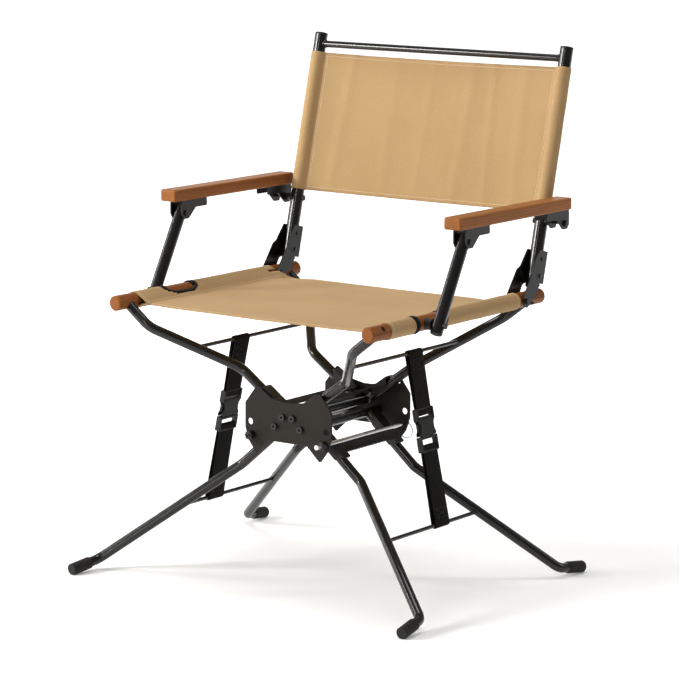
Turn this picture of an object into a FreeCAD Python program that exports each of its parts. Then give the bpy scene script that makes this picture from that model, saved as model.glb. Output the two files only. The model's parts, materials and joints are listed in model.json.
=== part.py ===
"""Folding director's chair: two wooden seat rails on a pair of hub plates, four splayed legs, and a
back frame that folds forward with the armrests.  Millimetres, +Z up, front towards -Y, +X on the
right as seen from the front, origin on the ground under the middle of the hub."""
import FreeCAD, Part
import math
import os
import Sketcher

V = FreeCAD.Vector
os.makedirs("parts", exist_ok=True)
doc = FreeCAD.newDocument("director_chair")

# ------------------------------------------------------------------------------- driving sizes
SIZES = {
    # seat rails
    "seat_width": 500, "rail_height": 460, "rail_length": 492, "rail_dia": 25, "rail_edge": 2.5,
    "screw_head_dia": 8.8, "screw_head_tall": 3,
    # hub: two plates, four pivot bolts, pivot sleeves and the cross plates of the four frames
    "hub_gap": 218, "plate_thick": 3, "bolt_dia": 6, "bolt_head_dia": 11, "bolt_head_tall": 5,
    "arm_bolt_spread": 20, "arm_bolt_height": 280.5, "leg_bolt_spread": 52, "leg_bolt_height": 264,
    "sleeve_dia": 14, "web_thick": 3, "flange_thick": 2.4, "arm_depth": 194, "leg_depth": 152,
    # bent tubes of the arms and the legs
    "tube_dia": 16.5, "tube_wall": 1.5, "bend_radius": 32, "foot_bend_radius": 20,
    "rod_dia": 6.5, "foot_cap_dia": 20, "foot_cap_length": 42,
    # lock pins and the second pair of holes, for the lower seat
    "pin_dia": 8, "pin_reach": 48.5, "pin_gap": 0.4, "pin_nose": 22, "pin_tail": 12,
    "low_hole_spread": 153, "low_hole_height": 266, "low_hole_dia": 11,
    "collar_dia": 14, "collar_length": 10, "ring_dia": 28, "ring_wire": 2,
    # back frame
    "back_post_dia": 22, "post_wall": 1.5, "back_height": 868, "back_foot_y": 218, "back_lean": 14.1,
    "bar_dia": 12, "bar_height": 846.3, "fold_pivot_y": 181, "rail_clear": 1,
    "cheek_thick": 2, "cheek_side_gap": 1.5,
    # armrests and front posts
    "arm_offset": 33.5, "front_post_dia": 20, "front_pivot_y": -101, "arm_pivot_height": 583.5,
    "wood_width": 32, "wood_thick": 20, "wood_length": 331, "wood_front_y": -67, "wood_edge": 3.5,
    "wood_base": 605, "bracket_gap": 20.8, "bracket_length": 68, "wood_screw_place": 42,
    "rivet_low": 46, "rivet_high": 74, "rivet_dia": 4, "rivet_head_dia": 7.2,
    "pivot_head_dia": 10, "stop_pin_dia": 4.8,
    "pivot_bolt_dia": 5, "post_overrun": 12, "foot_overrun": 14,
    # fabric and straps
    "cloth_thick": 1.5, "seat_front_y": -198, "seat_rear_y": 168, "seat_sag": 18,
    "back_cloth_low": 596, "back_cloth_high": 832, "back_sag": 14,
    "strap_width": 38, "strap_thick": 4,
    "strap_left_y": -37, "strap_right_y": 21, "buckle_width": 48, "buckle_thick": 11,
    "buckle_middle": 262, "socket_length": 46, "plug_length": 26,
    # running clearances
    "run_clear": 0.05, "part_gap": 0.4,
}
sheet = doc.addObject("Spreadsheet::Sheet", "Sizes")
for row, (alias, value) in enumerate(SIZES.items(), start=1):
    sheet.set("A%d" % row, alias)
    sheet.set("B%d" % row, str(value))
    sheet.setAlias("B%d" % row, alias)
doc.recompute()


def size(alias):
    """The value of one cell of the sheet."""
    return float(sheet.get(alias))


SIDES = (("left", -1), ("right", 1))
ENDS = (("front", -1), ("rear", 1))
Z_AXIS = V(0, 0, 1)
PARTS = []          # the document objects that are written out, one file each


# ------------------------------------------------------------------------------- small helpers
def keep(obj, label):
    """Names a finished sub-part and puts it on the list of files."""
    obj.Label = label
    PARTS.append(obj)
    return obj


def bind(obj, **expressions):
    for prop, expression in expressions.items():
        obj.setExpression(prop, expression)
    return obj


def turned(base, direction):
    """A placement at base that turns +Z to the direction."""
    return FreeCAD.Placement(base, FreeCAD.Rotation(Z_AXIS, direction))


def cylinder(name, radius, height, base, direction):
    """A cylinder bound to the sheet: radius and height are expressions."""
    obj = bind(doc.addObject("Part::Cylinder", name), Radius=radius, Height=height)
    obj.Placement = turned(base, direction)
    return obj


def box(name, length, width, height, corner):
    obj = bind(doc.addObject("Part::Box", name), Length=length, Width=width, Height=height)
    obj.Placement = FreeCAD.Placement(corner, FreeCAD.Rotation())
    return obj


def cut(name, base, *tools):
    """base minus each tool."""
    for number, tool in enumerate(tools):
        result = doc.addObject("Part::Cut", "%s_cut%d" % (name, number))
        result.Base = base
        result.Tool = tool
        base = result
    return base


def fuse(name, shapes):
    result = doc.addObject("Part::MultiFuse", name)
    result.Shapes = shapes
    return result


def group(name, shapes):
    """Several separate solids that are one node."""
    result = doc.addObject("Part::Compound", name)
    result.Links = shapes
    return result


def solid(name, shape):
    obj = doc.addObject("Part::Feature", name)
    obj.Shape = shape
    return obj


def rounded(points, radius, closed=False):
    """Straight runs through the points, joined by tangent arcs of the radius."""
    count = len(points)
    corners = range(count) if closed else range(1, count - 1)
    ends = {}
    for i in corners:
        here, back, ahead = points[i], points[i - 1], points[(i + 1) % count]
        one = (back - here).normalize()
        two = (ahead - here).normalize()
        half = one.getAngle(two) / 2
        reach = radius / math.tan(half)
        middle = (one + two).normalize() * (radius / math.sin(half) - radius)
        ends[i] = (here + one * reach, here + middle, here + two * reach)
    edges = []
    for i in range(count if closed else count - 1):
        following = (i + 1) % count
        start = ends[i][2] if i in ends else points[i]
        finish = ends[following][0] if following in ends else points[following]
        if start.distanceToPoint(finish) > 1e-6:
            edges.append(Part.LineSegment(start, finish))
        if following in ends:
            edges.append(Part.Arc(*ends[following]))
    return edges


def bent_tube(points, radius, outer, wall):
    """A hollow tube along the points, bent at each of them."""
    path = Part.Wire([edge.toShape() for edge in rounded(points, radius)])
    along = (points[1] - points[0]).normalize()
    swept = []
    for r in (outer, outer - wall):
        ring = Part.Wire(Part.makeCircle(r, points[0], along))
        swept.append(path.makePipeShell([ring], True, False))
    return swept[0].cut(swept[1])


def plate(name, outline, radius, thickness, placement, holes=()):
    """A flat plate: an outline in the sketch plane, round holes bound to the sheet, and a pad."""
    body = doc.addObject("PartDesign::Body", name)
    sketch = body.newObject("Sketcher::SketchObject", name + "_sketch")
    plane = [f for f in body.Origin.OriginFeatures if f.Role == "XY_Plane"][0]
    sketch.AttachmentSupport = [(plane, "")]
    sketch.MapMode = "FlatFace"
    for edge in rounded([V(x, y, 0) for x, y in outline], radius, closed=True):
        sketch.addConstraint(Sketcher.Constraint("Block", sketch.addGeometry(edge)))
    for x, y, radius_expression in holes:
        circle = Part.Circle(V(x, y, 0), Z_AXIS, 1)
        index = sketch.addGeometry(circle)
        sketch.addConstraint(Sketcher.Constraint("DistanceX", -1, 1, index, 3, x))
        sketch.addConstraint(Sketcher.Constraint("DistanceY", -1, 1, index, 3, y))
        rule = sketch.addConstraint(Sketcher.Constraint("Radius", index, 1))
        sketch.setExpression("Constraints[%d]" % rule, radius_expression)
    pad = body.newObject("PartDesign::Pad", name + "_pad")
    pad.Profile = sketch
    bind(pad, Length=thickness)
    body.Tip = pad
    body.Placement = placement
    return body


def facing(x_axis, y_axis, origin):
    """A placement whose sketch X and Y run along the two directions."""
    x_axis.normalize()
    y_axis.normalize()
    z_axis = x_axis.cross(y_axis)
    turn = FreeCAD.Rotation(x_axis, y_axis, z_axis, "ZXY")
    return FreeCAD.Placement(origin, turn)


# ------------------------------------------------------------------------------- derived places
half_seat = size("seat_width") / 2
rail_z = size("rail_height")
rail_r = size("rail_dia") / 2
rail_half = size("rail_length") / 2
tube_r = size("tube_dia") / 2
sleeve_r = size("sleeve_dia") / 2
plate_inner = size("hub_gap") / 2
plate_outer = plate_inner + size("plate_thick")
arm_y = size("arm_depth") / 2
leg_y = size("leg_depth") / 2
arm_bolt = (size("arm_bolt_spread") / 2, size("arm_bolt_height"))
leg_bolt = (size("leg_bolt_spread") / 2, size("leg_bolt_height"))

ARM_SOCKET_Y = rail_half - 29       # where an arm tube meets its rail, from the middle
ARM_SHOULDER = (202, 423)           # x and z of the bend under the rail
ARM_ELBOW = (105.5, 349)            # x and z of the bend beside the hub
LEG_KNEE = (120, 183.5)             # x and z of the bend beside the hub
LEG_ANKLE = (324, 203, 17)          # the bend at the foot: x, distance from the middle, z
LEG_TOE = (331, 262)                # x and distance of the end of the foot
FOOT_FLAT = 0.8                     # how much of each rubber cap is flattened by the ground
UPPER_ROD_SHARE = 0.5               # how far along its tube run each strap rod is welded
LOWER_ROD_SHARE = 0.44


def arm_points(side, end):
    """Route of an arm tube from its pivot to the seat rail."""
    return [V(side * arm_bolt[0], end * arm_y, arm_bolt[1]),
            V(side * ARM_ELBOW[0], end * arm_y, ARM_ELBOW[1]),
            V(side * ARM_SHOULDER[0], end * ARM_SOCKET_Y, ARM_SHOULDER[1]),
            V(side * half_seat, end * ARM_SOCKET_Y, rail_z)]


def leg_points(side, end):
    """Route of a leg tube from its pivot to the end of the foot, low enough for the caps to be
    ground flat where they stand."""
    toe_z = size("foot_cap_dia") / 2 - FOOT_FLAT
    return [V(side * leg_bolt[0], end * leg_y, leg_bolt[1]),
            V(side * LEG_KNEE[0], end * leg_y, LEG_KNEE[1]),
            V(side * LEG_ANKLE[0], end * LEG_ANKLE[1], LEG_ANKLE[2]),
            V(side * LEG_TOE[0], end * LEG_TOE[1], toe_z)]


def between(start, finish, share):
    return start + (finish - start) * share


# The lock pin lies on the leg's cross plate, a set distance out from the leg's pivot.
leg_along = (leg_points(1, 1)[1] - leg_points(1, 1)[0]).normalize()
leg_up = V(-leg_along.z, 0, leg_along.x)
pin_spot = (V(leg_bolt[0], 0, leg_bolt[1]) + leg_along * size("pin_reach")
            + leg_up * (tube_r + size("web_thick") + size("pin_dia") / 2 + size("pin_gap")))


# ------------------------------------------------------------------------------- hub
def hub():
    low_hole = size("low_hole_spread") / 2
    half_outline = [(8, 304), (34, 309), (62.5, 328), (86.5, 297), (86.5, 256), (79, 234), (64, 214),
                    (38, 238.5)]
    outline = half_outline + [(-x, z) for x, z in reversed(half_outline)]
    holes = []
    for _, side in SIDES:
        holes += [(side * arm_bolt[0], arm_bolt[1], "Sizes.bolt_dia / 2 + Sizes.run_clear"),
                  (side * leg_bolt[0], leg_bolt[1], "Sizes.bolt_dia / 2 + Sizes.run_clear"),
                  (side * pin_spot.x, pin_spot.z, "Sizes.pin_dia / 2 + Sizes.run_clear"),
                  (side * low_hole, size("low_hole_height"), "Sizes.low_hole_dia / 2")]
    peak_holes = [(side * 64.5, 314, "Sizes.bolt_dia / 2") for _, side in SIDES]
    # the sketch's own +Z comes out along -Y, so each plate grows forward from its back face
    spots = {"front": -plate_inner, "rear": plate_outer}
    for name, y in spots.items():
        drilled = holes + (peak_holes if name == "rear" else [])
        keep(plate("hub_plate_" + name, outline, 3.5, "Sizes.plate_thick",
                   facing(V(1, 0, 0), V(0, 0, 1), V(0, y, 0)), drilled), "hub_plate_" + name)

    bolts = []
    for side_name, side in SIDES:
        for kind, (x, z) in (("arm", arm_bolt), ("leg", leg_bolt)):
            tag = "%s_%s_bolt" % (side_name, kind)
            shank = cylinder(tag, "Sizes.bolt_dia / 2", "Sizes.hub_gap + 2 * Sizes.plate_thick + 4",
                             V(side * x, -plate_outer, z), V(0, 1, 0))
            head = cylinder(tag + "_head", "Sizes.bolt_head_dia / 2", "Sizes.bolt_head_tall",
                            V(side * x, -plate_outer, z), V(0, -1, 0))
            key = cylinder(tag + "_key", "Sizes.bolt_dia / 3", "Sizes.bolt_head_tall * 0.6",
                           V(side * x, -plate_outer - size("bolt_head_tall"), z), V(0, 1, 0))
            nut = cylinder(tag + "_nut", "Sizes.bolt_head_dia / 2", "Sizes.bolt_head_tall",
                           V(side * x, plate_outer, z), V(0, 1, 0))
            bolts.append(cut(tag, fuse(tag + "_solid", [shank, head, nut]), key))
    keep(group("hub_bolts_group", bolts), "hub_bolts")

    collars = []
    for side_name, side in SIDES:
        ring = cylinder("collar_" + side_name, "Sizes.collar_dia / 2", "Sizes.collar_length",
                        V(side * pin_spot.x, -plate_outer, pin_spot.z), V(0, -1, 0))
        bore = cylinder("collar_bore_" + side_name, "Sizes.pin_dia / 2 + Sizes.run_clear",
                        "Sizes.collar_length", V(side * pin_spot.x, -plate_outer, pin_spot.z),
                        V(0, -1, 0))
        collars.append(cut("pin_collar_" + side_name, ring, bore))
    keep(group("pin_collars_group", collars), "pin_collars")


def pivot_sleeve(label, side, spot):
    """The sleeve that turns on a hub bolt, between the two plates."""
    x, z = spot
    start = V(side * x, -plate_inner + 1, z)
    tube = cylinder(label + "_outer", "Sizes.sleeve_dia / 2", "Sizes.hub_gap - 2", start, V(0, 1, 0))
    bore = cylinder(label + "_bore", "Sizes.bolt_dia / 2 + Sizes.run_clear", "Sizes.hub_gap - 2",
                    start, V(0, 1, 0))
    return cut(label, tube, bore)


def cross_plate(label, side, spot, along, tube_y, reach, band):
    """The plate that ties a frame's two tubes together beside the hub: a strip laid along each tube,
    out to reach, with an edge turned down on either side of it, and a band from strip to strip.
    Places are u, along the tubes from the pivot, and v, which is the model's Y."""
    x, z = spot
    run = V(side * along.x, 0, along.z).normalize()
    up = V(-side * run.z, 0, side * run.x)
    start = 13
    band_start, band_end = band
    flange = size("flange_thick")
    inner = tube_y - tube_r - flange
    outer = tube_y + tube_r + flange
    points = [(start, -outer), (reach, -outer), (reach, -inner), (band_end, -inner),
              (band_end, inner), (reach, inner), (reach, outer), (start, outer)]
    if band_start > start:
        points += [(start, inner), (band_start, inner), (band_start, -inner), (start, -inner)]
    base = V(side * x, 0, z) + up * tube_r
    face = Part.Face(Part.Wire([e.toShape() for e in rounded(
        [base + run * u + V(0, v, 0) for u, v in points], 3, closed=True)]))
    shapes = [face.extrude(up * size("web_thick"))]
    deep = tube_r * 1.5
    for v in (-outer, -inner - flange + 0.01, inner, outer - flange + 0.01):
        corner = base + V(0, v, 0)
        strip = Part.makePolygon([corner + run * (start + 4), corner + run * (reach - 3),
                                  corner + run * (reach - 9) - up * deep,
                                  corner + run * (start + 10) - up * deep, corner + run * (start + 4)])
        shapes.append(Part.Face(strip).extrude(V(0, flange - 0.01, 0)))
    return solid(label, shapes[0].fuse(shapes[1:]).removeSplitter())


# ------------------------------------------------------------------------------- arms and rails
def arm_frames():
    sleeves = []
    rods = []
    for side_name, side in SIDES:
        x, z = arm_bolt
        sleeve_solid = Part.makeCylinder(sleeve_r, size("hub_gap"), V(side * x, -plate_inner, z),
                                         V(0, 1, 0))
        for end_name, end in ENDS:
            points = arm_points(side, end)
            # the tube stops short of the rail's axis, in a blind socket
            last = (points[3] - points[2]).normalize()
            points[3] = points[3] - last * 2
            tube = bent_tube(points, size("bend_radius"), tube_r, size("tube_wall"))
            label = "arm_tube_%s_%s" % (side_name, end_name)
            keep(solid(label + "_shape", tube.cut(sleeve_solid)), label)
        sleeves.append(pivot_sleeve("arm_sleeve_" + side_name, side, arm_bolt))
        along = V(ARM_ELBOW[0] - x, 0, ARM_ELBOW[1] - z)
        keep(cross_plate("arm_plate_shape_" + side_name, side, arm_bolt, along, arm_y, 62, (13, 24)),
             "arm_cross_plate_" + side_name)
        # the upper rod joins the middles of the two splayed runs
        front, rear = arm_points(side, -1), arm_points(side, 1)
        rods.append(rod_between("upper_rod_" + side_name, front[1:3], rear[1:3], UPPER_ROD_SHARE))
    keep(group("arm_sleeves_group", sleeves), "arm_sleeves")
    keep(group("upper_rods_group", rods), "upper_rods")


def rod_between(label, run, far_run, share):
    """A rod along Y between two straight tube runs, ending on their surfaces."""
    (start, finish), (far_start, far_finish) = run, far_run
    here = between(start, finish, share)
    there = between(far_start, far_finish, share)
    rod = Part.makeCylinder(size("rod_dia") / 2, there.y - here.y, here, V(0, 1, 0))
    for first, second in ((start, finish), (far_start, far_finish)):
        rod = rod.cut(Part.makeCylinder(tube_r, (second - first).Length, first, second - first))
    return solid(label, rod)


def rails():
    screws = []
    for side_name, side in SIDES:
        rail = cylinder("rail_bar_" + side_name, "Sizes.rail_dia / 2", "Sizes.rail_length",
                        V(side * half_seat, -rail_half, rail_z), V(0, 1, 0))
        softened = doc.addObject("Part::Chamfer", "rail_soft_" + side_name)
        softened.Base = rail
        doc.recompute()
        rims = [i + 1 for i, e in enumerate(rail.Shape.Edges) if e.Closed]
        softened.Edges = [(i, size("rail_edge"), size("rail_edge")) for i in rims]
        tools = []
        for end_name, end in ENDS:
            tag = "%s_%s" % (side_name, end_name)
            points = arm_points(side, end)
            last = (points[3] - points[2]).normalize()
            socket = points[3] - last * (rail_r + 12)
            tools.append(cylinder("socket_" + tag, "Sizes.tube_dia / 2 + 0.1", "Sizes.rail_dia / 2 + 10",
                                  socket, last))
            tools.append(cylinder("screw_hole_" + tag, "Sizes.pivot_bolt_dia / 2 + 0.1",
                                  "Sizes.rail_dia", points[3] - last * 2.5, last))
            seat = points[3] + last * (rail_r - 5)
            tools.append(cylinder("counterbore_" + tag, "Sizes.screw_head_dia / 2 + 0.3",
                                  "Sizes.rail_dia", seat, last))
            shank = cylinder("screw_" + tag, "Sizes.pivot_bolt_dia / 2", "Sizes.rail_dia / 2 - 3",
                             points[3] - last * 1.8, last)
            head = cylinder("screw_head_" + tag, "Sizes.screw_head_dia / 2", "Sizes.screw_head_tall",
                            seat + last * 0.02, last)
            key = cylinder("screw_key_" + tag, "Sizes.screw_head_dia / 5", "Sizes.screw_head_tall",
                           seat + last * 1.5, last)
            screws.append(cut("rail_screw_" + tag, fuse("screw_solid_" + tag, [shank, head]), key))
        for tag, y in (("front", size("front_pivot_y")), ("back", size("fold_pivot_y"))):
            tools.append(cylinder("bolt_hole_%s_%s" % (side_name, tag),
                                  "Sizes.pivot_bolt_dia / 2 + Sizes.run_clear", "Sizes.rail_dia * 2",
                                  V(side * half_seat - size("rail_dia"), y, rail_z), V(1, 0, 0)))
        keep(cut("rail_drilled_" + side_name, softened, *tools), "seat_rail_" + side_name)
    keep(group("rail_screws_group", screws), "rail_screws")


# ------------------------------------------------------------------------------- legs
def leg_frames():
    for side_name, side in SIDES:
        x, z = leg_bolt
        sleeve_solid = Part.makeCylinder(sleeve_r, size("hub_gap"), V(side * x, -plate_inner, z),
                                         V(0, 1, 0))
        caps = []
        for end_name, end in ENDS:
            points = leg_points(side, end)
            tube = bent_tube(points, size("foot_bend_radius"), tube_r, size("tube_wall"))
            tube = tube.cut(sleeve_solid)
            label = "leg_tube_%s_%s" % (side_name, end_name)
            foot = (points[2] - points[3]).normalize()
            cap_r = size("foot_cap_dia") / 2
            tip = points[3]
            outer = Part.makeCylinder(cap_r, size("foot_cap_length"), tip - foot * 3, foot)
            outer = outer.makeFillet(2.5, [e for e in outer.Edges if e.Closed])
            bore = Part.makeCylinder(tube_r, size("foot_cap_length") + 20, tip, foot)
            ground = Part.makeBox(200, 200, 20, V(tip.x - 100, tip.y - 100, -20))
            caps.append(outer.cut(bore).cut(ground))
            keep(solid(label + "_shape", tube), label)
        keep(solid("foot_caps_shape_" + side_name, Part.makeCompound(caps)), "foot_caps_" + side_name)
        keep(pivot_sleeve("leg_sleeve_shape_" + side_name, side, leg_bolt), "leg_sleeve_" + side_name)
        keep(cross_plate("leg_plate_shape_" + side_name, side, leg_bolt, leg_along, leg_y, 78,
                         (46, 67.5)),
             "leg_cross_plate_" + side_name)
        front, rear = leg_points(side, -1), leg_points(side, 1)
        keep(rod_between("lower_rod_shape_" + side_name, front[1:3], rear[1:3], LOWER_ROD_SHARE),
             "lower_rod_" + side_name)


# ------------------------------------------------------------------------------- lock pins
def lock_pins():
    for side_name, side in SIDES:
        nose_y = -plate_outer - size("pin_nose")
        pin = cylinder("pin_rod_" + side_name, "Sizes.pin_dia / 2",
                       "Sizes.hub_gap + 2 * Sizes.plate_thick + Sizes.pin_nose + Sizes.pin_tail",
                       V(side * pin_spot.x, nose_y, pin_spot.z), V(0, 1, 0))
        eye_y = plate_outer + size("pin_tail") * 0.6
        wire = size("ring_wire") / 2
        eye = cylinder("pin_eye_" + side_name, "Sizes.ring_wire / 2 + 0.8", "Sizes.pin_dia * 2",
                       V(side * pin_spot.x - size("pin_dia"), eye_y, pin_spot.z), V(1, 0, 0))
        keep(cut("pin_drilled_" + side_name, pin, eye), "lock_pin_" + side_name)
        radius = size("ring_dia") / 2
        # the ring hangs from the eye, its top lying in the cross hole
        ring = Part.makeTorus(radius - wire, wire, V(0, 0, 0), V(0, 1, 0))
        flat = solid("pull_ring_shape_" + side_name, ring)
        flat.Placement = FreeCAD.Placement(
            V(side * pin_spot.x, eye_y, pin_spot.z - radius + wire + 0.3), FreeCAD.Rotation())
        keep(flat, "pull_ring_" + side_name)


# ------------------------------------------------------------------------------- back frame
# Places on the back frame are given along its posts (s, from the pivot up) and square to them
# (t, from the pivot rearwards), in the YZ plane.
lean = math.radians(size("back_lean"))
POST_UP = V(0, math.sin(lean), math.cos(lean))
POST_BACK = V(0, math.cos(lean), -math.sin(lean))
post_r = size("back_post_dia") / 2
fold_pivot = V(0, size("fold_pivot_y"), rail_z)
post_t = (V(0, size("back_foot_y"), rail_z) - fold_pivot).dot(POST_BACK)
top_s = ((size("back_height") - rail_z) - post_r * math.sin(lean)
         + post_t * math.sin(lean)) / math.cos(lean)
rail_top_s = (rail_r + size("rail_clear") + post_r * math.sin(lean)
              + post_t * math.sin(lean)) / math.cos(lean)
CAP_TALL = 3


def on_back(s, t, x=0):
    """A point of the back frame."""
    return fold_pivot + POST_UP * s + POST_BACK * t + V(x, 0, 0)


def height_on_post(z):
    """How far up the post's axis a height is."""
    return (z - rail_z + post_t * math.sin(lean)) / math.cos(lean)


arm_pivot_s = height_on_post(size("arm_pivot_height"))
rear_arm_pivot = on_back(arm_pivot_s, post_t)
front_rail_pivot = V(0, size("front_pivot_y"), rail_z)
front_arm_pivot = rear_arm_pivot + front_rail_pivot - fold_pivot
arm_x = half_seat + size("arm_offset")
bracket_inner = arm_x - size("bracket_gap") / 2 - size("cheek_thick")
bracket_outer = arm_x + size("bracket_gap") / 2 + size("cheek_thick")


def side_plate(name, outline, radius, side, inner_x, holes=()):
    """A cheek in the YZ plane, one sheet thick, outwards from inner_x."""
    start = inner_x if side > 0 else -inner_x - size("cheek_thick")
    return plate(name, outline, radius, "Sizes.cheek_thick",
                 facing(V(0, 1, 0), Z_AXIS, V(start, 0, 0)), holes)


def flat(point):
    return (point.y, point.z)


def across(name, radius, start_x, length, side, spot):
    """A cylinder along X, outwards from start_x on its side, through the spot."""
    return cylinder(name, radius, length, V(side * start_x, spot.y, spot.z), V(side, 0, 0))


def back_bracket(side_name, side):
    """The sheet bracket that holds a post: narrow round the post, wider where it straddles the
    rail, with a joggle along the slanted line between the two."""
    narrow = post_r + size("part_gap") / 8
    wide = rail_r + size("rail_clear") + size("cheek_side_gap")
    thick = size("cheek_thick")
    rear_t = post_t + post_r + thick + size("part_gap") / 8
    lobe = 10
    upper = [(88, post_t - 10), (57, 10.5), (34, 37), (34, rear_t), (88, rear_t)]
    lower = [(51, 8), (6, -lobe - 1), (-lobe, -4), (-lobe, 5), (-3, 11), (7, 17), (7.5, 24), (27, 30),
             (30, 33.5)]
    pieces = []
    middle = half_seat * side
    for face in (-1, 1):
        for outline, offset, radius in ((upper, narrow, 1.5), (lower, wide, 1.2)):
            inner = middle + face * offset
            wire = Part.Wire([edge.toShape() for edge in rounded(
                [on_back(s, t, inner) for s, t in outline], radius, closed=True)])
            pieces.append(Part.Face(wire).extrude(V(face * thick, 0, 0)))
        # the joggle runs from the lower cheek's slanted edge to the upper cheek's
        ends = []
        for outline, offset in (((lower[0], lower[-1]), wide), ((upper[1], upper[2]), narrow)):
            (s1, t1), (s2, t2) = outline
            near, far = middle + face * offset, middle + face * (offset + thick)
            ends.append(Part.makePolygon([on_back(s1, t1, near), on_back(s1, t1, far),
                                          on_back(s2, t2, far), on_back(s2, t2, near),
                                          on_back(s1, t1, near)]))
        pieces.append(Part.makeLoft(ends, True, True))
    corner = on_back(34, rear_t - thick, half_seat * side - narrow - thick)
    web = Part.makePolygon([corner, corner + POST_UP * 54, corner + POST_UP * 54 + POST_BACK * thick,
                            corner + POST_BACK * thick, corner])
    pieces.append(Part.Face(web).extrude(V(2 * (narrow + thick), 0, 0)))
    shape = pieces[0].fuse(pieces[1:]).removeSplitter()
    bore = Part.makeCylinder(size("pivot_bolt_dia") / 2 + size("run_clear"), 6 * rail_r,
                             V(half_seat * side - 3 * rail_r, fold_pivot.y, fold_pivot.z), V(1, 0, 0))
    for s in (size("rivet_low"), size("rivet_high")):
        hole = Part.makeCylinder(size("rivet_dia") / 2, 6 * rail_r,
                                 on_back(s, post_t, half_seat * side - 3 * rail_r), V(1, 0, 0))
        shape = shape.cut(hole)
    return solid("back_bracket_shape_" + side_name, shape.cut(bore))


def back_frame():
    caps = []
    rivets = []
    bolts = []
    posts_solid = []
    for side_name, side in SIDES:
        x = side * half_seat
        foot = on_back(rail_top_s, post_t, x)
        length = top_s - rail_top_s - CAP_TALL
        outer = cylinder("post_outer_" + side_name, "Sizes.back_post_dia / 2", "%f mm" % length, foot,
                         POST_UP)
        bore = cylinder("post_bore_" + side_name, "Sizes.back_post_dia / 2 - Sizes.post_wall",
                        "%f mm" % length, foot, POST_UP)
        holes = [across("post_arm_hole_" + side_name, "Sizes.pivot_bolt_dia / 2 + Sizes.run_clear",
                        half_seat - 2 * post_r, "Sizes.back_post_dia * 2", side, rear_arm_pivot)]
        for number, s in enumerate((size("rivet_low"), size("rivet_high"))):
            tag = "%s_%d" % (side_name, number)
            holes.append(across("post_rivet_hole_" + tag, "Sizes.rivet_dia / 2", half_seat - 2 * post_r,
                                "Sizes.back_post_dia * 2", side, on_back(s, post_t)))
            span = post_r + size("cheek_thick")
            shank = across("rivet_shank_" + tag, "Sizes.rivet_dia / 2 - Sizes.run_clear",
                           half_seat - span - 1, "Sizes.back_post_dia + 2 * Sizes.cheek_thick + 2",
                           side, on_back(s, post_t))
            heads = [across("rivet_head_%s_%d" % (tag, n), "Sizes.rivet_head_dia / 2",
                            half_seat + place, "1.4 mm", side, on_back(s, post_t))
                     for n, place in enumerate((-span - 1.5, span + 0.1))]
            rivets.append(fuse("bracket_rivet_" + tag, [shank] + heads))
        keep(cut("back_post_tube_" + side_name, outer, bore, *holes), "back_post_" + side_name)
        posts_solid.append(outer)

        top = on_back(top_s - CAP_TALL, post_t, x)
        head = Part.makeCylinder(post_r, CAP_TALL, top, POST_UP)
        rims = [e for e in head.Edges if e.Closed and e.CenterOfMass.z > top.z + CAP_TALL / 2]
        head = head.makeFillet(2, rims)
        stem = Part.makeCylinder(post_r - size("post_wall"), 12, top - POST_UP * 12, POST_UP)
        caps.append(solid("post_cap_" + side_name, head.fuse(stem)))
        keep(back_bracket(side_name, side), "back_bracket_" + side_name)
        bolts.append(armrest_bolt(side_name, side))
    keep(group("post_caps_group", caps), "post_caps")
    keep(group("bracket_rivets_group", rivets), "bracket_rivets")
    keep(group("armrest_bolts_group", bolts), "armrest_bolts")

    bar_spot = on_back(height_on_post(size("bar_height")), post_t, -half_seat)
    bar = cylinder("top_bar_rod", "Sizes.bar_dia / 2", "Sizes.seat_width", bar_spot, V(1, 0, 0))
    keep(cut("top_bar_cut", bar, *posts_solid), "top_bar")
    keep(solid("back_fabric_shape", back_cloth()), "back_fabric")


def armrest_bolt(side_name, side):
    """Bolt from inside the back post, through a spacer and both cheeks of the armrest bracket."""
    tag = "arm_bolt_" + side_name
    inner = half_seat - post_r
    gap = size("part_gap")
    shank = across(tag + "_shank", "Sizes.pivot_bolt_dia / 2", inner - 3, "%f mm"
                   % (bracket_outer + gap + 4 - inner + 2), side, rear_arm_pivot)
    head = across(tag + "_head", "Sizes.pivot_head_dia / 2", inner - 3.5, "3.5 mm", side,
                  rear_arm_pivot)
    nut = across(tag + "_nut", "Sizes.pivot_head_dia / 2", bracket_outer + gap, "4 mm", side,
                 rear_arm_pivot)
    spacer = across(tag + "_spacer", "6 mm", half_seat + post_r * 0.6, "%f mm"
                    % (bracket_inner - gap - half_seat - post_r * 0.6), side, rear_arm_pivot)
    post = cylinder(tag + "_clear", "Sizes.back_post_dia / 2", "60 mm",
                    on_back(arm_pivot_s - 30, post_t, side * half_seat), POST_UP)
    seated = cut(tag + "_seated", fuse(tag + "_ends", [head, spacer]), post)
    return fuse(tag, [shank, seated, nut])


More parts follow.
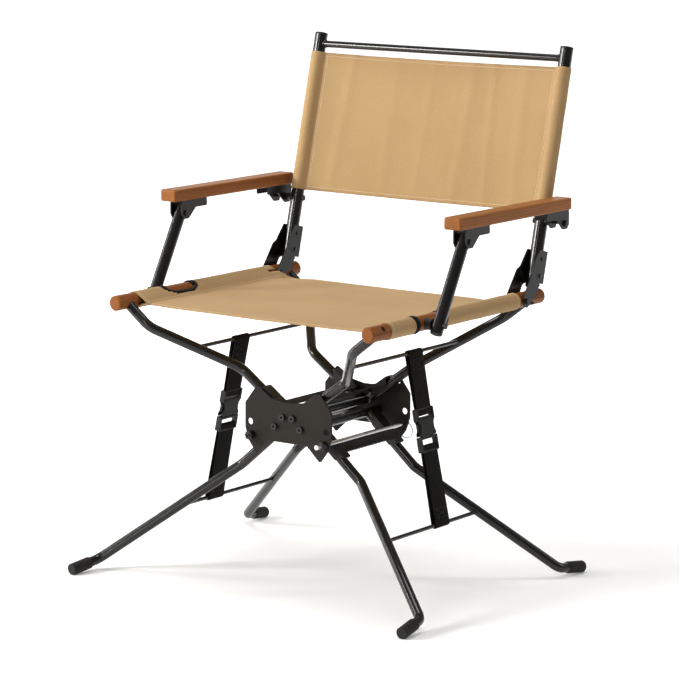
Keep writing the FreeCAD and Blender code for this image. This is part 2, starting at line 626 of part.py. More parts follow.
def back_cloth():
    """Two sleeves round the posts and the panel between them, bellied to the rear."""
    low, high = height_on_post(size("back_cloth_low")), height_on_post(size("back_cloth_high"))
    gap = size("part_gap")
    thick = size("cloth_thick")
    inner = post_r + gap
    span = half_seat - inner
    sag = size("back_sag")
    base = on_back(low, post_t)
    up = POST_UP * (high - low)

    def at(x, t):
        return base + V(x, 0, 0) + POST_BACK * t

    front = [edge.toShape() for edge in (
        Part.Arc(at(-span, -thick / 2), at(0, sag - thick / 2), at(span, -thick / 2)),
        Part.LineSegment(at(span, -thick / 2), at(span, thick / 2)),
        Part.Arc(at(span, thick / 2), at(0, sag + thick / 2), at(-span, thick / 2)),
        Part.LineSegment(at(-span, thick / 2), at(-span, -thick / 2)))]
    cloth = Part.Face(Part.Wire(front)).extrude(up)
    for _, side in SIDES:
        centre = at(side * half_seat, 0)
        cloth = cloth.fuse(Part.makeCylinder(inner + thick, up.Length, centre, POST_UP))
    for _, side in SIDES:
        centre = at(side * half_seat, 0)
        cloth = cloth.cut(Part.makeCylinder(inner, up.Length, centre, POST_UP))
    return cloth.removeSplitter()


# ------------------------------------------------------------------------------- armrests
def armrests():
    nose = 12
    pivot_z = size("arm_pivot_height")
    top = size("wood_base") - size("cheek_thick") - pivot_z
    for side_name, side in SIDES:
        brackets = []
        fasteners = []
        for end_name, pivot, way in (("front", front_arm_pivot, 1), ("rear", rear_arm_pivot, -1)):
            tag = "%s_%s" % (side_name, end_name)
            shape = [(-nose, top), (-nose, -1), (-7, -9.5), (7, -9.5), (26, 8),
                     (size("bracket_length") - nose, 8), (size("bracket_length") - nose, top)]
            outline = [(pivot.y + way * y, pivot.z + z) for y, z in shape]
            hole = [(pivot.y, pivot.z, "Sizes.pivot_bolt_dia / 2 + Sizes.run_clear")]
            cheeks = [side_plate("cheek_%s_%s" % (tag, name), outline, 2.8, side, inner, hole)
                      for name, inner in (("inner", bracket_inner),
                                          ("outer", bracket_outer - size("cheek_thick")))]
            low_y = pivot.y + min(-way * nose, way * (size("bracket_length") - nose))
            web = box("web_" + tag, "Sizes.bracket_gap + 2 * Sizes.cheek_thick",
                      "Sizes.bracket_length", "Sizes.cheek_thick",
                      V(side * arm_x - (bracket_outer - bracket_inner) / 2, low_y, pivot.z + top))
            spot = pivot + V(0, way * size("wood_screw_place"), top)
            drill = cylinder("web_drill_" + tag, "2.1 mm", "Sizes.cheek_thick * 2",
                             V(side * arm_x, spot.y, spot.z - 1), Z_AXIS)
            brackets.append(cut("arm_bracket_" + tag, fuse("arm_bracket_solid_" + tag, cheeks + [web]),
                                drill))
            screw = cylinder("arm_screw_shank_" + tag, "2 mm", "14 mm",
                             V(side * arm_x, spot.y, spot.z - 0.5), Z_AXIS)
            head = cylinder("arm_screw_head_" + tag, "4 mm", "2 mm",
                            V(side * arm_x, spot.y, spot.z), V(0, 0, -1))
            fasteners.append(fuse("arm_screw_" + tag, [screw, head]))
        keep(group("arm_brackets_" + side_name, brackets), "armrest_brackets_" + side_name)

        gap = size("part_gap")
        tag = "front_rivet_" + side_name
        shank = across(tag + "_shank", "Sizes.pivot_bolt_dia / 2", bracket_inner - 3,
                       "%f mm" % (bracket_outer - bracket_inner + 6), side, front_arm_pivot)
        heads = [across("%s_head%d" % (tag, n), "Sizes.pivot_head_dia / 2", start, "2.6 mm", side,
                        front_arm_pivot)
                 for n, start in enumerate((bracket_inner - 2.6, bracket_outer))]
        fasteners.append(fuse(tag, [shank] + heads))
        keep(group("arm_fasteners_" + side_name, fasteners), "armrest_fasteners_" + side_name)

        block = box("wood_block_" + side_name, "Sizes.wood_width", "Sizes.wood_length",
                    "Sizes.wood_thick", V(side * arm_x - size("wood_width") / 2,
                                          size("wood_front_y"), size("wood_base")))
        holes = [cylinder("wood_hole_%s_%d" % (side_name, n), "2.05 mm", "14 mm",
                          V(side * arm_x, pivot.y + way * size("wood_screw_place"), size("wood_base")), Z_AXIS)
                 for n, (pivot, way) in enumerate(((front_arm_pivot, 1), (rear_arm_pivot, -1)))]
        eased = doc.addObject("Part::Fillet", "wood_eased_" + side_name)
        eased.Base = block
        doc.recompute()
        radius = size("wood_edge")
        eased.Edges = [(i + 1, radius, radius) for i in range(len(block.Shape.Edges))]
        keep(cut("wood_drilled_" + side_name, eased, *holes), "armrest_" + side_name)


def front_posts():
    reach = front_arm_pivot - front_rail_pivot
    along = V(0, reach.y, reach.z).normalize()
    radius = size("front_post_dia") / 2
    low = size("foot_overrun")
    length = low + reach.Length + size("post_overrun")
    plug = 2
    for side_name, side in SIDES:
        start = V(side * arm_x, front_rail_pivot.y, rail_z) - along * low
        outer = cylinder("front_outer_" + side_name, "Sizes.front_post_dia / 2",
                         "%f mm" % length, start, along)
        bore = cylinder("front_bore_" + side_name, "Sizes.front_post_dia / 2 - Sizes.post_wall",
                        "%f mm" % (length - 2 * plug), start + along * plug, along)
        holes = [across("front_hole_%s_%d" % (side_name, n),
                        "Sizes.pivot_bolt_dia / 2 + Sizes.run_clear", arm_x - 2 * radius,
                        "Sizes.front_post_dia * 2", side, pivot)
                 for n, pivot in enumerate((front_rail_pivot, front_arm_pivot))]
        keep(cut("front_post_tube_" + side_name, outer, bore, *holes), "front_post_" + side_name)


def rail_pivots():
    """Bolts through the rails: the pivots of the back frame and of the front posts, and the stops
    that the back frame leans on."""
    bolts = []
    spacers = []
    gap = size("part_gap")
    cheek_outer = rail_r + size("rail_clear") + size("cheek_side_gap") + size("cheek_thick")
    front_outer = arm_x + size("front_post_dia") / 2
    stop = on_back(-0.4, 21.5)          # just behind the lower cheek's heel, when it is open
    for side_name, side in SIDES:
        tag = "fold_bolt_" + side_name
        reach = cheek_outer + gap
        shank = across(tag + "_shank", "Sizes.pivot_bolt_dia / 2", half_seat - reach - 1,
                       "%f mm" % (2 * reach + 2), side, fold_pivot)
        heads = [across("%s_head%d" % (tag, n), "4.5 mm", start, "3 mm", side, fold_pivot)
                 for n, start in enumerate((half_seat - reach - 3, half_seat + reach))]
        bolts.append(fuse(tag, [shank] + heads))

        tag = "front_bolt_" + side_name
        shank = across(tag + "_shank", "Sizes.pivot_bolt_dia / 2", half_seat - rail_r - 2,
                       "%f mm" % (front_outer + gap + rail_r + 3 - half_seat), side, front_rail_pivot)
        head = across(tag + "_head", "Sizes.pivot_head_dia / 2", front_outer + gap, "3.5 mm", side,
                      front_rail_pivot)
        nut = across(tag + "_nut", "4.5 mm", half_seat - rail_r - 2.5, "2.5 mm", side,
                     front_rail_pivot)
        bolts.append(fuse(tag, [shank, head, nut]))

        for name, start, way in (("outer", half_seat, side), ("inner", half_seat, -side)):
            pin = cylinder("stop_%s_%s" % (name, side_name), "Sizes.stop_pin_dia / 2",
                           "%f mm" % cheek_outer,
                           V(side * start, stop.y, stop.z), V(way, 0, 0))
            bolts.append(cut("stop_pin_%s_%s" % (name, side_name), pin, rail_body(side_name, side)))

        start = half_seat + rail_r * 0.7
        ring = across("saddle_ring_" + side_name, "9 mm",
                      start, "%f mm" % (front_outer - size("front_post_dia") - gap - start), side,
                      front_rail_pivot)
        bore = across("saddle_bore_" + side_name, "Sizes.pivot_bolt_dia / 2 + Sizes.run_clear",
                      start, "20 mm", side, front_rail_pivot)
        spacers.append(cut("post_spacer_" + side_name, ring, bore,
                           rail_body("spacer_" + side_name, side)))
    keep(group("rail_bolts_group", bolts), "rail_bolts")
    keep(group("post_spacers_group", spacers), "post_spacers")


def rail_body(name, side):
    """The plain round of a rail, to shape what sits on it."""
    tag = "rail_round_%s" % name
    found = doc.getObject(tag)
    return found or cylinder(tag, "Sizes.rail_dia / 2", "Sizes.rail_length",
                             V(side * half_seat, -rail_half, rail_z), V(0, 1, 0))


# ------------------------------------------------------------------------------- seat fabric
def seat_cloth():
    """Sleeves on the rails and the slung seat between them, with openings round the front posts and
    the back brackets."""
    gap = size("part_gap")
    thick = size("cloth_thick")
    inner = rail_r + gap
    outer = inner + thick
    top = rail_z + outer
    front = size("seat_front_y")
    rear = size("seat_rear_y")
    floor = rail_z + rail_r - size("seat_sag")
    half = [(half_seat - 3, top), (half_seat - 13, top - 5), (half_seat - 30, floor + 2.5),
            (half_seat - 90, floor)]
    curve = [(-x, z) for x, z in half] + [(0, floor - 1)] + [(x, z) for x, z in reversed(half)]
    edges = []
    ends = []
    for drop in (0, thick):
        points = [V(x, front, z - drop) for x, z in curve]
        line = Part.BSplineCurve()
        line.interpolate(points)
        edges.append(line.toShape())
        ends.append((points[0], points[-1]))
    edges += [Part.makeLine(ends[0][n], ends[1][n]) for n in (0, 1)]
    band = Part.Face(Part.Wire(Part.__sortEdges__(edges)))
    panel = band.extrude(V(0, rear + 18 - front, 0))
    notch_low = half_seat - rail_r - size("rail_clear") - size("cheek_side_gap")
    notch_low -= size("cheek_thick") + 5
    for _, side in SIDES:
        width = half_seat + 20 - notch_low
        low_x = notch_low if side > 0 else -notch_low - width
        panel = panel.cut(Part.makeBox(width, 80, 60, V(low_x, rear, rail_z - 30)))
        slot = half_seat - inner - thick - notch_low - 0.1
        slot_x = notch_low if side > 0 else -notch_low - slot
        panel = panel.cut(Part.makeBox(slot, 80, 60, V(slot_x, rear - 22, rail_z - 30)))
    cloth = panel
    for _, side in SIDES:
        cloth = cloth.fuse(Part.makeCylinder(outer, rear - front, V(side * half_seat, front, rail_z),
                                             V(0, 1, 0)))
    for _, side in SIDES:
        cloth = cloth.cut(Part.makeCylinder(inner, rear - front + 40,
                                            V(side * half_seat, front - 20, rail_z), V(0, 1, 0)))
        start, finish = size("front_pivot_y") - 31, size("front_pivot_y") + 56
        width = 50
        low_x = half_seat - 18 if side > 0 else -half_seat + 18 - width
        cloth = cloth.cut(Part.makeBox(width, finish - start, 60, V(low_x, start, rail_z - 30)))
    return cloth.removeSplitter()


# ------------------------------------------------------------------------------- straps
def belt(first, first_r, second, second_r):
    """The closed outline, in the XZ plane, of a belt round two circles."""
    run = second - first
    length = run.Length
    run.normalize()
    square = V(run.z, 0, -run.x)
    tilt = math.asin((first_r - second_r) / length)
    lift = square * math.cos(tilt) + run * math.sin(tilt)
    drop = square * -math.cos(tilt) + run * math.sin(tilt)
    return Part.Wire([
        Part.LineSegment(first + lift * first_r, second + lift * second_r).toShape(),
        Part.Arc(second + lift * second_r, second + run * second_r,
                 second + drop * second_r).toShape(),
        Part.LineSegment(second + drop * second_r, first + drop * first_r).toShape(),
        Part.Arc(first + drop * first_r, first - run * first_r, first + lift * first_r).toShape()])


def straps():
    rod_r = size("rod_dia") / 2
    web = size("strap_thick") / 2
    gap = size("part_gap")
    bar_r = 1.6
    width = size("strap_width")
    buckle_w = size("buckle_width")
    half_thick = size("buckle_thick") / 2
    middle_ys = {"left": size("strap_left_y"), "right": size("strap_right_y")}
    for side_name, side in SIDES:
        front, lower = arm_points(side, 1), leg_points(side, 1)
        upper = between(front[1], front[2], UPPER_ROD_SHARE)
        lower = between(lower[1], lower[2], LOWER_ROD_SHARE)
        upper.y = lower.y = 0
        along = (lower - upper).normalize()
        square = V(along.z, 0, -along.x)
        centre = upper + along * ((upper.z - size("buckle_middle")) / -along.z)
        y = middle_ys[side_name]
        split = (size("plug_length") - size("socket_length")) / -2
        halves = (("upper", upper, -1, size("socket_length")), ("lower", lower, 1,
                                                               size("plug_length")))
        for name, rod, way, length in halves:
            tag = "%s_%s" % (name, side_name)
            face = centre + along * (split + way * gap / 2)      # where the two halves meet
            bar = face + along * (way * (length - 9))
            lift = V(0, y - width / 2, 0)
            sling_outer = belt(rod, rod_r + gap + web, bar, bar_r + gap / 2 + web)
            sling_inner = belt(rod, rod_r + gap, bar, bar_r + gap / 2)
            webbing = Part.Face(sling_outer).cut(Part.Face(sling_inner)).extrude(V(0, width, 0))
            webbing.translate(lift)
            keep(solid("strap_shape_" + tag, webbing), "strap_%s_%s" % (name, side_name))

            corner = face + square * -half_thick
            far = corner + along * (way * length)
            profile = Part.makePolygon([corner, corner + square * (2 * half_thick),
                                        far + square * (2 * half_thick), far, corner])
            body = Part.Face(profile).extrude(V(0, buckle_w, 0))
            body.translate(V(0, y - buckle_w / 2, 0))
            body = body.makeFillet(2.5, body.Edges)
            room = Part.Face(belt(rod, rod_r + 2 * gap + web, bar, bar_r + gap + web))
            room = room.extrude(V(0, width + 2 * gap, 0))
            room.translate(V(0, y - width / 2 - gap, 0))
            body = body.cut(room)
            pin = Part.makeCylinder(bar_r, width + 4, bar + V(0, y - width / 2 - 2, 0), V(0, 1, 0))
            body = body.fuse(pin)
            kind = "socket" if name == "upper" else "plug"
            keep(solid("buckle_%s_shape_%s" % (kind, side_name), body),
                 "buckle_%s_%s" % (kind, side_name))


hub()
arm_frames()
rails()
leg_frames()
lock_pins()
back_frame()
armrests()
front_posts()
rail_pivots()
keep(solid("seat_fabric_shape", seat_cloth()), "seat_fabric")
straps()
doc.recompute()

# ------------------------------------------------------------------------------- checks and files
for obj in doc.Objects:
    if "Invalid" in obj.State or "Error" in obj.State:
        raise RuntimeError("%s did not rebuild: %s" % (obj.Name, obj.State))
for obj in PARTS:
    if obj.Shape.isNull() or not obj.Shape.isValid() or not obj.Shape.Solids:
        raise RuntimeError("%s has no sound solid" % obj.Label)
for obj in PARTS:
    obj.Shape.exportStep("parts/%s.step" % obj.Label)
print("%d nodes written" % len(PARTS))
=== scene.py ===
"""Looks of the folding director's chair: canvas, straps, buckles, stitching and studio."""
import json
import math

import bmesh
import bpy
from mathutils import Matrix, Vector, noise


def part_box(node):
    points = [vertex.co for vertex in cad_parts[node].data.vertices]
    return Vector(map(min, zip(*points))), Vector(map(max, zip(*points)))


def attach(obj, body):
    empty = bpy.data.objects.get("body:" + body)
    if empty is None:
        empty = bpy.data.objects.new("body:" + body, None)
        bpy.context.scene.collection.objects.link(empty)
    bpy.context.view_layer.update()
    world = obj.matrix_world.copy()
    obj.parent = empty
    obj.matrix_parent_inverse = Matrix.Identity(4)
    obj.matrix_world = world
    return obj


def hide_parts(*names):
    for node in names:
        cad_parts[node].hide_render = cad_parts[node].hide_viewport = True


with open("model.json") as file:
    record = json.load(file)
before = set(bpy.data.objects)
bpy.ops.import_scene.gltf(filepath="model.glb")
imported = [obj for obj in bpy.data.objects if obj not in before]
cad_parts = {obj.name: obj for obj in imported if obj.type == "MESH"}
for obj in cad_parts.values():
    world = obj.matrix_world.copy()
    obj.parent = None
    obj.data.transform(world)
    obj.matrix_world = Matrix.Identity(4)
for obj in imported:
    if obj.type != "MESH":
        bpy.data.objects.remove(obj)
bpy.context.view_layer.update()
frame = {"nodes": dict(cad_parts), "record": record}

MM = 0.001
CELL = 3.6 * MM                       # size of the cloth's mesh cells
WEBBING = 1.8 * MM                    # thickness of the straps
SOCKET_LENGTH = 46 * MM
PLUG_LENGTH = 26 * MM
TAPE = 11 * MM                        # width of the binding tape, and of the one round an opening
NARROW_TAPE = 5 * MM
HEM_SEAM = 6 * MM                     # from a hem's edge to its seam
SIDES = (("left", -1), ("right", 1))
NODES = frame["nodes"]
RECORD = frame["record"]
JOINTS = {joint["name"]: joint for joint in RECORD["behaviour"]["joints"]}


# ------------------------------------------------------------------------------- node graphs
class Graph:
    """A material's node tree, with short calls for the nodes used here."""

    def __init__(self, name, **uniform):
        self.material = bpy.data.materials.new(name)
        self.material.use_nodes = True
        self.tree = self.material.node_tree
        self.shader = self.tree.nodes["Principled BSDF"]
        for socket, value in uniform.items():
            self.shader.inputs[socket.replace("_", " ")].default_value = value

    def node(self, kind, **settings):
        made = self.tree.nodes.new(kind)
        for key, value in settings.items():
            setattr(made, key, value)
        return made

    def link(self, source, target):
        self.tree.links.new(source, target)

    def place(self, scale=(1, 1, 1), turn=(0, 0, 0), uv=False):
        """Object or cut-pattern coordinates, in metres, scaled and turned."""
        coords = self.node("ShaderNodeTexCoord")
        mapping = self.node("ShaderNodeMapping")
        mapping.inputs["Scale"].default_value = scale
        mapping.inputs["Rotation"].default_value = turn
        self.link(coords.outputs["UV" if uv else "Object"], mapping.inputs["Vector"])
        return mapping.outputs["Vector"]

    def noise(self, vector, scale, detail=3.0, rough=0.55, distort=0.0):
        made = self.node("ShaderNodeTexNoise")
        made.inputs["Scale"].default_value = scale
        made.inputs["Detail"].default_value = detail
        made.inputs["Roughness"].default_value = rough
        made.inputs["Distortion"].default_value = distort
        self.link(vector, made.inputs["Vector"])
        return made.outputs["Fac"]

    def wave(self, vector, scale, axis="X", profile="SIN", distort=0.0, detail=2.0):
        made = self.node("ShaderNodeTexWave", bands_direction=axis, wave_profile=profile)
        made.inputs["Scale"].default_value = scale
        made.inputs["Distortion"].default_value = distort
        made.inputs["Detail"].default_value = detail
        self.link(vector, made.inputs["Vector"])
        return made.outputs["Fac"]

    def math(self, operation, first, second):
        made = self.node("ShaderNodeMath", operation=operation)
        for socket, value in zip(made.inputs, (first, second)):
            if isinstance(value, (int, float)):
                socket.default_value = value
            else:
                self.link(value, socket)
        return made.outputs[0]

    def ramp(self, factor, stops):
        made = self.node("ShaderNodeValToRGB")
        elements = made.color_ramp.elements
        while len(elements) < len(stops):
            elements.new(0.5)
        for element, (place, colour) in zip(elements, stops):
            element.position = place
            element.color = (*colour, 1)
        self.link(factor, made.inputs["Fac"])
        return made.outputs["Color"]

    def mix(self, factor, first, second, blend="MIX"):
        made = self.node("ShaderNodeMix", data_type="RGBA", blend_type=blend)
        for socket, value in ((made.inputs[0], factor), (made.inputs[6], first),
                              (made.inputs[7], second)):
            if isinstance(value, (int, float)):
                socket.default_value = value
            elif isinstance(value, tuple):
                socket.default_value = (*value, 1)
            else:
                self.link(value, socket)
        return made.outputs[2]

    def span(self, factor, low, high):
        made = self.node("ShaderNodeMapRange")
        made.inputs["To Min"].default_value = low
        made.inputs["To Max"].default_value = high
        self.link(factor, made.inputs["Value"])
        return made.outputs["Result"]

    def bump(self, height, strength, distance, under=None):
        made = self.node("ShaderNodeBump")
        made.inputs["Strength"].default_value = strength
        made.inputs["Distance"].default_value = distance
        self.link(height, made.inputs["Height"])
        if under:
            self.link(under, made.inputs["Normal"])
        return made.outputs["Normal"]

    def done(self, colour=None, rough=None, normal=None):
        for socket, value in (("Base Color", colour), ("Roughness", rough), ("Normal", normal)):
            if value is not None:
                self.link(value, self.shader.inputs[socket])
        return self.material


def canvas_material():
    """Plain-weave cotton canvas with slubs, a faint random drift of tone and painted shade in the
    gaps of the weave, laid along the cut.
    """
    g = Graph("canvas", Sheen_Weight=0.04, Sheen_Roughness=0.5, Specular_IOR_Level=0.06)
    threads = 230
    cut = g.place(uv=True)
    warp = g.wave(cut, threads, "X", distort=0.6)
    weft = g.wave(cut, threads, "Y", distort=0.6)
    weave = g.math("MULTIPLY", warp, weft)
    slub = g.noise(g.place((1, 0.12, 1), uv=True), 1500, 2.0)
    cross_slub = g.noise(g.place((0.12, 1, 1), uv=True), 1500, 2.0)
    speck = g.math("ADD", g.math("MULTIPLY", slub, 0.5), g.math("MULTIPLY", cross_slub, 0.5))
    drift = g.noise(cut, 9, 4.0)
    tone = g.ramp(speck, [(0.3, (0.410, 0.266, 0.128)), (0.7, (0.500, 0.338, 0.172))])
    shade = g.ramp(drift, [(0.3, (0.93, 0.92, 0.90)), (0.7, (1.0, 1.0, 1.0))])
    colour = g.mix(1.0, tone, shade, "MULTIPLY")
    # painted shade: the gaps between threads, low on the weave's bump, are darkened
    painted_gap_shade = g.ramp(weave, [(0.0, (0.80, 0.78, 0.75)), (0.45, (1, 1, 1))])
    colour = g.mix(0.5, colour, g.mix(1.0, colour, painted_gap_shade, "MULTIPLY"))
    normal = g.bump(weave, 0.35, 0.25 * MM)
    normal = g.bump(g.noise(cut, 55, 3.0), 0.25, 0.8 * MM, normal)
    return g.done(colour, g.span(speck, 0.82, 0.95), normal)


def webbing_material():
    """Ribbed black webbing: diagonal ribs over cords that run its length, with painted shade in the
    grooves.
    """
    g = Graph("webbing", Sheen_Weight=0.04, Sheen_Roughness=0.4, Specular_IOR_Level=0.12)
    cut = g.place(uv=True)
    ribs = g.wave(cut, 260, "DIAGONAL")
    cord = g.wave(cut, 160, "X")
    weave = g.math("MULTIPLY", ribs, cord)
    # painted shade: the colour darkens where the weave is low, in the grooves between ribs and
    # cords
    colour = g.ramp(weave, [(0.0, (0.004, 0.0036, 0.0032)), (0.8, (0.012, 0.0105, 0.0092))])
    fuzz = g.noise(cut, 900, 2.0)
    normal = g.bump(weave, 0.6, 0.35 * MM)
    return g.done(colour, g.span(fuzz, 0.72, 0.92), normal)


def thread_material(name, colour, dark):
    """Twisted sewing thread, with painted shade in the grooves of the twist."""
    g = Graph(name, Sheen_Weight=0.2, Specular_IOR_Level=0.3)
    spin = g.wave(g.place((1, 1, 1), (0.5, 0.6, 0.7)), 900, "DIAGONAL")
    # painted shade: the dark tone lies in the low grooves of the twist, where the bump is low
    tone = g.ramp(spin, [(0.1, dark), (0.8, colour)])
    return g.done(tone, g.span(spin, 0.6, 0.8), g.bump(spin, 0.4, 0.1 * MM))


def coated_material(name, dark, light, low, high, grain, depth, gloss=0.3, coat=0.12):
    """Powder-coated steel: fine orange peel, dust-dull patches and a paler rub on the edges."""
    g = Graph(name, Specular_IOR_Level=gloss, Coat_Weight=coat, Coat_Roughness=0.1)
    here = g.place()
    peel = g.noise(here, grain, 2.0)
    patch = g.noise(here, 14, 4.0)
    colour = g.ramp(patch, [(0.3, dark), (0.75, light)])
    edge = g.node("ShaderNodeNewGeometry").outputs["Pointiness"]
    rub = g.ramp(edge, [(0.66, (0, 0, 0)), (0.80, (1, 1, 1))])
    scuff = g.ramp(g.noise(here, 160, 4.0), [(0.55, (0, 0, 0)), (0.75, (1, 1, 1))])
    worn = g.math("MULTIPLY", rub, scuff)
    colour = g.mix(worn, colour, tuple(2 * c for c in light))
    rough = g.math("ADD", g.span(patch, low, high), g.math("MULTIPLY", peel, 0.06))
    return g.done(colour, rough, g.bump(peel, depth, 0.12 * MM))


def wood_material(name, pale, middle, dark, pith, rings=95):
    """Oiled hardwood cut along Y: growth rings round a pith line beside the piece, with pores."""
    g = Graph(name, Coat_Weight=0.02, Coat_Roughness=0.3, Specular_IOR_Level=0.12)
    coords = g.node("ShaderNodeTexCoord").outputs["Object"]
    mapping = g.node("ShaderNodeMapping")
    mapping.inputs["Location"].default_value = (-pith[0], 0, -pith[1])
    mapping.inputs["Scale"].default_value = (1, 0.05, 1)
    g.link(coords, mapping.inputs["Vector"])
    ring = g.node("ShaderNodeTexWave", wave_type="RINGS", rings_direction="Y")
    ring.inputs["Scale"].default_value = rings
    ring.inputs["Distortion"].default_value = 2.2
    ring.inputs["Detail"].default_value = 3.0
    ring.inputs["Detail Scale"].default_value = 1.6
    g.link(mapping.outputs["Vector"], ring.inputs["Vector"])
    fibre = g.noise(g.place((1, 0.018, 1)), 1400, 4.0, 0.65)
    pore = g.noise(g.place((1, 0.05, 1)), 2300, 2.0)
    cloud = g.noise(g.place((1, 0.25, 1)), 26, 3.0)
    grain = g.math("ADD", g.math("MULTIPLY", ring.outputs["Fac"], 0.2),
                   g.math("MULTIPLY", fibre, 0.8))
    colour = g.ramp(grain, [(0.28, dark), (0.5, middle), (0.74, pale)])
    pores = g.ramp(pore, [(0.30, (0.45, 0.40, 0.36)), (0.40, (1, 1, 1))])
    colour = g.mix(0.7, colour, g.mix(1.0, colour, pores, "MULTIPLY"))
    tint = g.ramp(cloud, [(0.3, (0.86, 0.84, 0.82)), (0.7, (1.06, 1.04, 1.02))])
    colour = g.mix(1.0, colour, tint, "MULTIPLY")
    normal = g.bump(fibre, 0.22, 0.15 * MM)
    return g.done(colour, g.span(fibre, 0.48, 0.36), normal)


def steel_material():
    g = Graph("bright_steel", Metallic=1.0)
    streak = g.noise(g.place((1, 0.02, 1)), 2600, 2.0)
    colour = g.ramp(streak, [(0.3, (0.58, 0.57, 0.55)), (0.7, (0.80, 0.79, 0.77))])
    return g.done(colour, g.span(streak, 0.16, 0.32), g.bump(streak, 0.1, 0.05 * MM))


def moulded_material(name, colour, low, high, grain):
    """Spark-textured moulded plastic, or rubber when it is rougher."""
    g = Graph(name, Specular_IOR_Level=0.25)
    here = g.place()
    spark = g.noise(here, grain, 3.0, 0.7)
    tone = g.ramp(g.noise(here, 40, 3.0), [(0.3, colour), (0.7, tuple(1.6 * c for c in colour))])
    return g.done(tone, g.span(spark, low, high), g.bump(spark, 0.35, 0.12 * MM))


BLACK_DARK, BLACK_LIGHT = (0.0055, 0.0050, 0.0045), (0.0085, 0.0077, 0.0068)
LOOKS = {
    "canvas": canvas_material(),
    "webbing": webbing_material(),
    "rail_wood": wood_material("rail_wood", (0.330, 0.118, 0.030), (0.250, 0.084, 0.021),
                               (0.175, 0.055, 0.013), (0.20, 0.43)),
    "arm_wood": wood_material("arm_wood", (0.370, 0.145, 0.038), (0.300, 0.110, 0.028),
                              (0.220, 0.076, 0.019), (0.24, 0.55)),
    "buckle_plastic": moulded_material("buckle_plastic", (0.010, 0.0095, 0.009), 0.34, 0.52, 900),
    "black_plastic": moulded_material("black_plastic", (0.011, 0.010, 0.0095), 0.38, 0.55, 800),
    "foot_rubber": moulded_material("foot_rubber", (0.012, 0.0115, 0.011), 0.55, 0.8, 600),
    "bright_steel": steel_material(),
    "hub_plate": coated_material("hub_plate", (0.015, 0.0125, 0.010), (0.020, 0.017, 0.0135), 0.46,
                                 0.58, 900, 0.5, 0.12, 0.03),
    "black_sheet": coated_material("black_sheet", BLACK_DARK, BLACK_LIGHT, 0.30, 0.42, 700, 0.12),
    "black_bolt": coated_material("black_bolt", (0.010, 0.0095, 0.009), (0.02, 0.019, 0.018), 0.28,
                                  0.42, 900, 0.25),
    "black_tube": coated_material("black_tube", BLACK_DARK, BLACK_LIGHT, 0.20, 0.26, 650, 0.04,
                                  0.3, 0.35),
}
PALE_THREAD = thread_material("pale_thread", (0.80, 0.64, 0.42), (0.58, 0.43, 0.26))
BLACK_THREAD = thread_material("black_thread", (0.02, 0.018, 0.016), (0.006, 0.005, 0.005))


def dress_frame():
    """Gives every CAD node its material."""
    for part in RECORD["subparts"]:
        node = NODES[part["node"]]
        node.data.materials.clear()
        node.data.materials.append(LOOKS[part["material_slot"]])


# ------------------------------------------------------------------------------- mesh helpers
def add_mesh(name, points, faces, material, body, smooth=True, flat_map=None):
    """A new piece from points and faces, in metres; flat_map has each point's place on the cut."""
    mesh = bpy.data.meshes.new(name)
    mesh.from_pydata([tuple(p) for p in points], [], faces)
    if flat_map:
        layer = mesh.uv_layers.new(name="cut")
        for loop in mesh.loops:
            layer.data[loop.index].uv = flat_map[loop.vertex_index]
    mesh.materials.append(material)
    built = bmesh.new()
    built.from_mesh(mesh)
    bmesh.ops.recalc_face_normals(built, faces=built.faces)
    built.to_mesh(mesh)
    built.free()
    for polygon in mesh.polygons:
        polygon.use_smooth = smooth
    piece = bpy.data.objects.new(name, mesh)
    bpy.context.scene.collection.objects.link(piece)
    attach(piece, body)
    return piece


class Parts:
    """Points and faces gathered into one mesh."""

    def __init__(self):
        self.points = []
        self.faces = []
        self.flat = []

    def add(self, points, faces, flat=None):
        start = len(self.points)
        self.points += points
        self.faces += [[start + i for i in face] for face in faces]
        self.flat += flat or [(0, 0)] * len(points)

    def tube(self, rings, closed=False, flat=None):
        """Skins rings of equal length; open tubes are capped."""
        count, sides = len(rings), len(rings[0])
        points = [p for ring in rings for p in ring]
        faces = []
        for i in range(count if closed else count - 1):
            j = (i + 1) % count
            for k in range(sides):
                n = (k + 1) % sides
                faces.append([i * sides + k, i * sides + n, j * sides + n, j * sides + k])
        if not closed:
            faces.append(list(range(sides))[::-1])
            faces.append([(count - 1) * sides + k for k in range(sides)])
        self.add(points, faces, flat)

    def piece(self, name, material, body, slot, smooth=True):
        return add_mesh(name, self.points, self.faces, material, body, smooth, self.flat)


class Profile:
    """A smooth line through points in a plane, read by distance along it from its middle."""

    def __init__(self, points):
        self.points = [Vector(p) for p in points]
        self.length = [0.0]
        for a, b in zip(self.points, self.points[1:]):
            self.length.append(self.length[-1] + (b - a).length)
        self.half = self.length[-1] / 2

    def at(self, s):
        """Point and unit normal at distance s from the middle."""
        target = min(max(s + self.half, 0), self.length[-1])
        low, high = 0, len(self.length) - 1
        while high - low > 1:
            middle = (low + high) // 2
            if self.length[middle] <= target:
                low = middle
            else:
                high = middle
        share = (target - self.length[low]) / (self.length[high] - self.length[low])
        point = self.points[low].lerp(self.points[high], share)
        before = self.points[max(low - 1, 0)]
        after = self.points[min(high + 1, len(self.points) - 1)]
        way = (after - before).normalized()
        return point, Vector((-way.y, way.x))

    def where(self, test):
        """Distance from the middle of the first point, going outwards, that passes the test."""
        start = len(self.points) // 2
        for i in range(start, len(self.points)):
            if test(self.points[i]):
                return self.length[i] - self.half
        return self.half


def spline(controls, steps):
    """Points on a Catmull-Rom curve through the controls."""
    ends = [controls[0] * 2 - controls[1]] + controls + [controls[-1] * 2 - controls[-2]]
    found = []
    for a, b, c, d in zip(ends, ends[1:], ends[2:], ends[3:]):
        for i in range(steps):
            t = i / steps
            found.append(0.5 * ((2 * b) + (c - a) * t + (2 * a - 5 * b + 4 * c - d) * t * t
                                + (3 * b - a - 3 * c + d) * t ** 3))
    found.append(controls[-1])
    return found


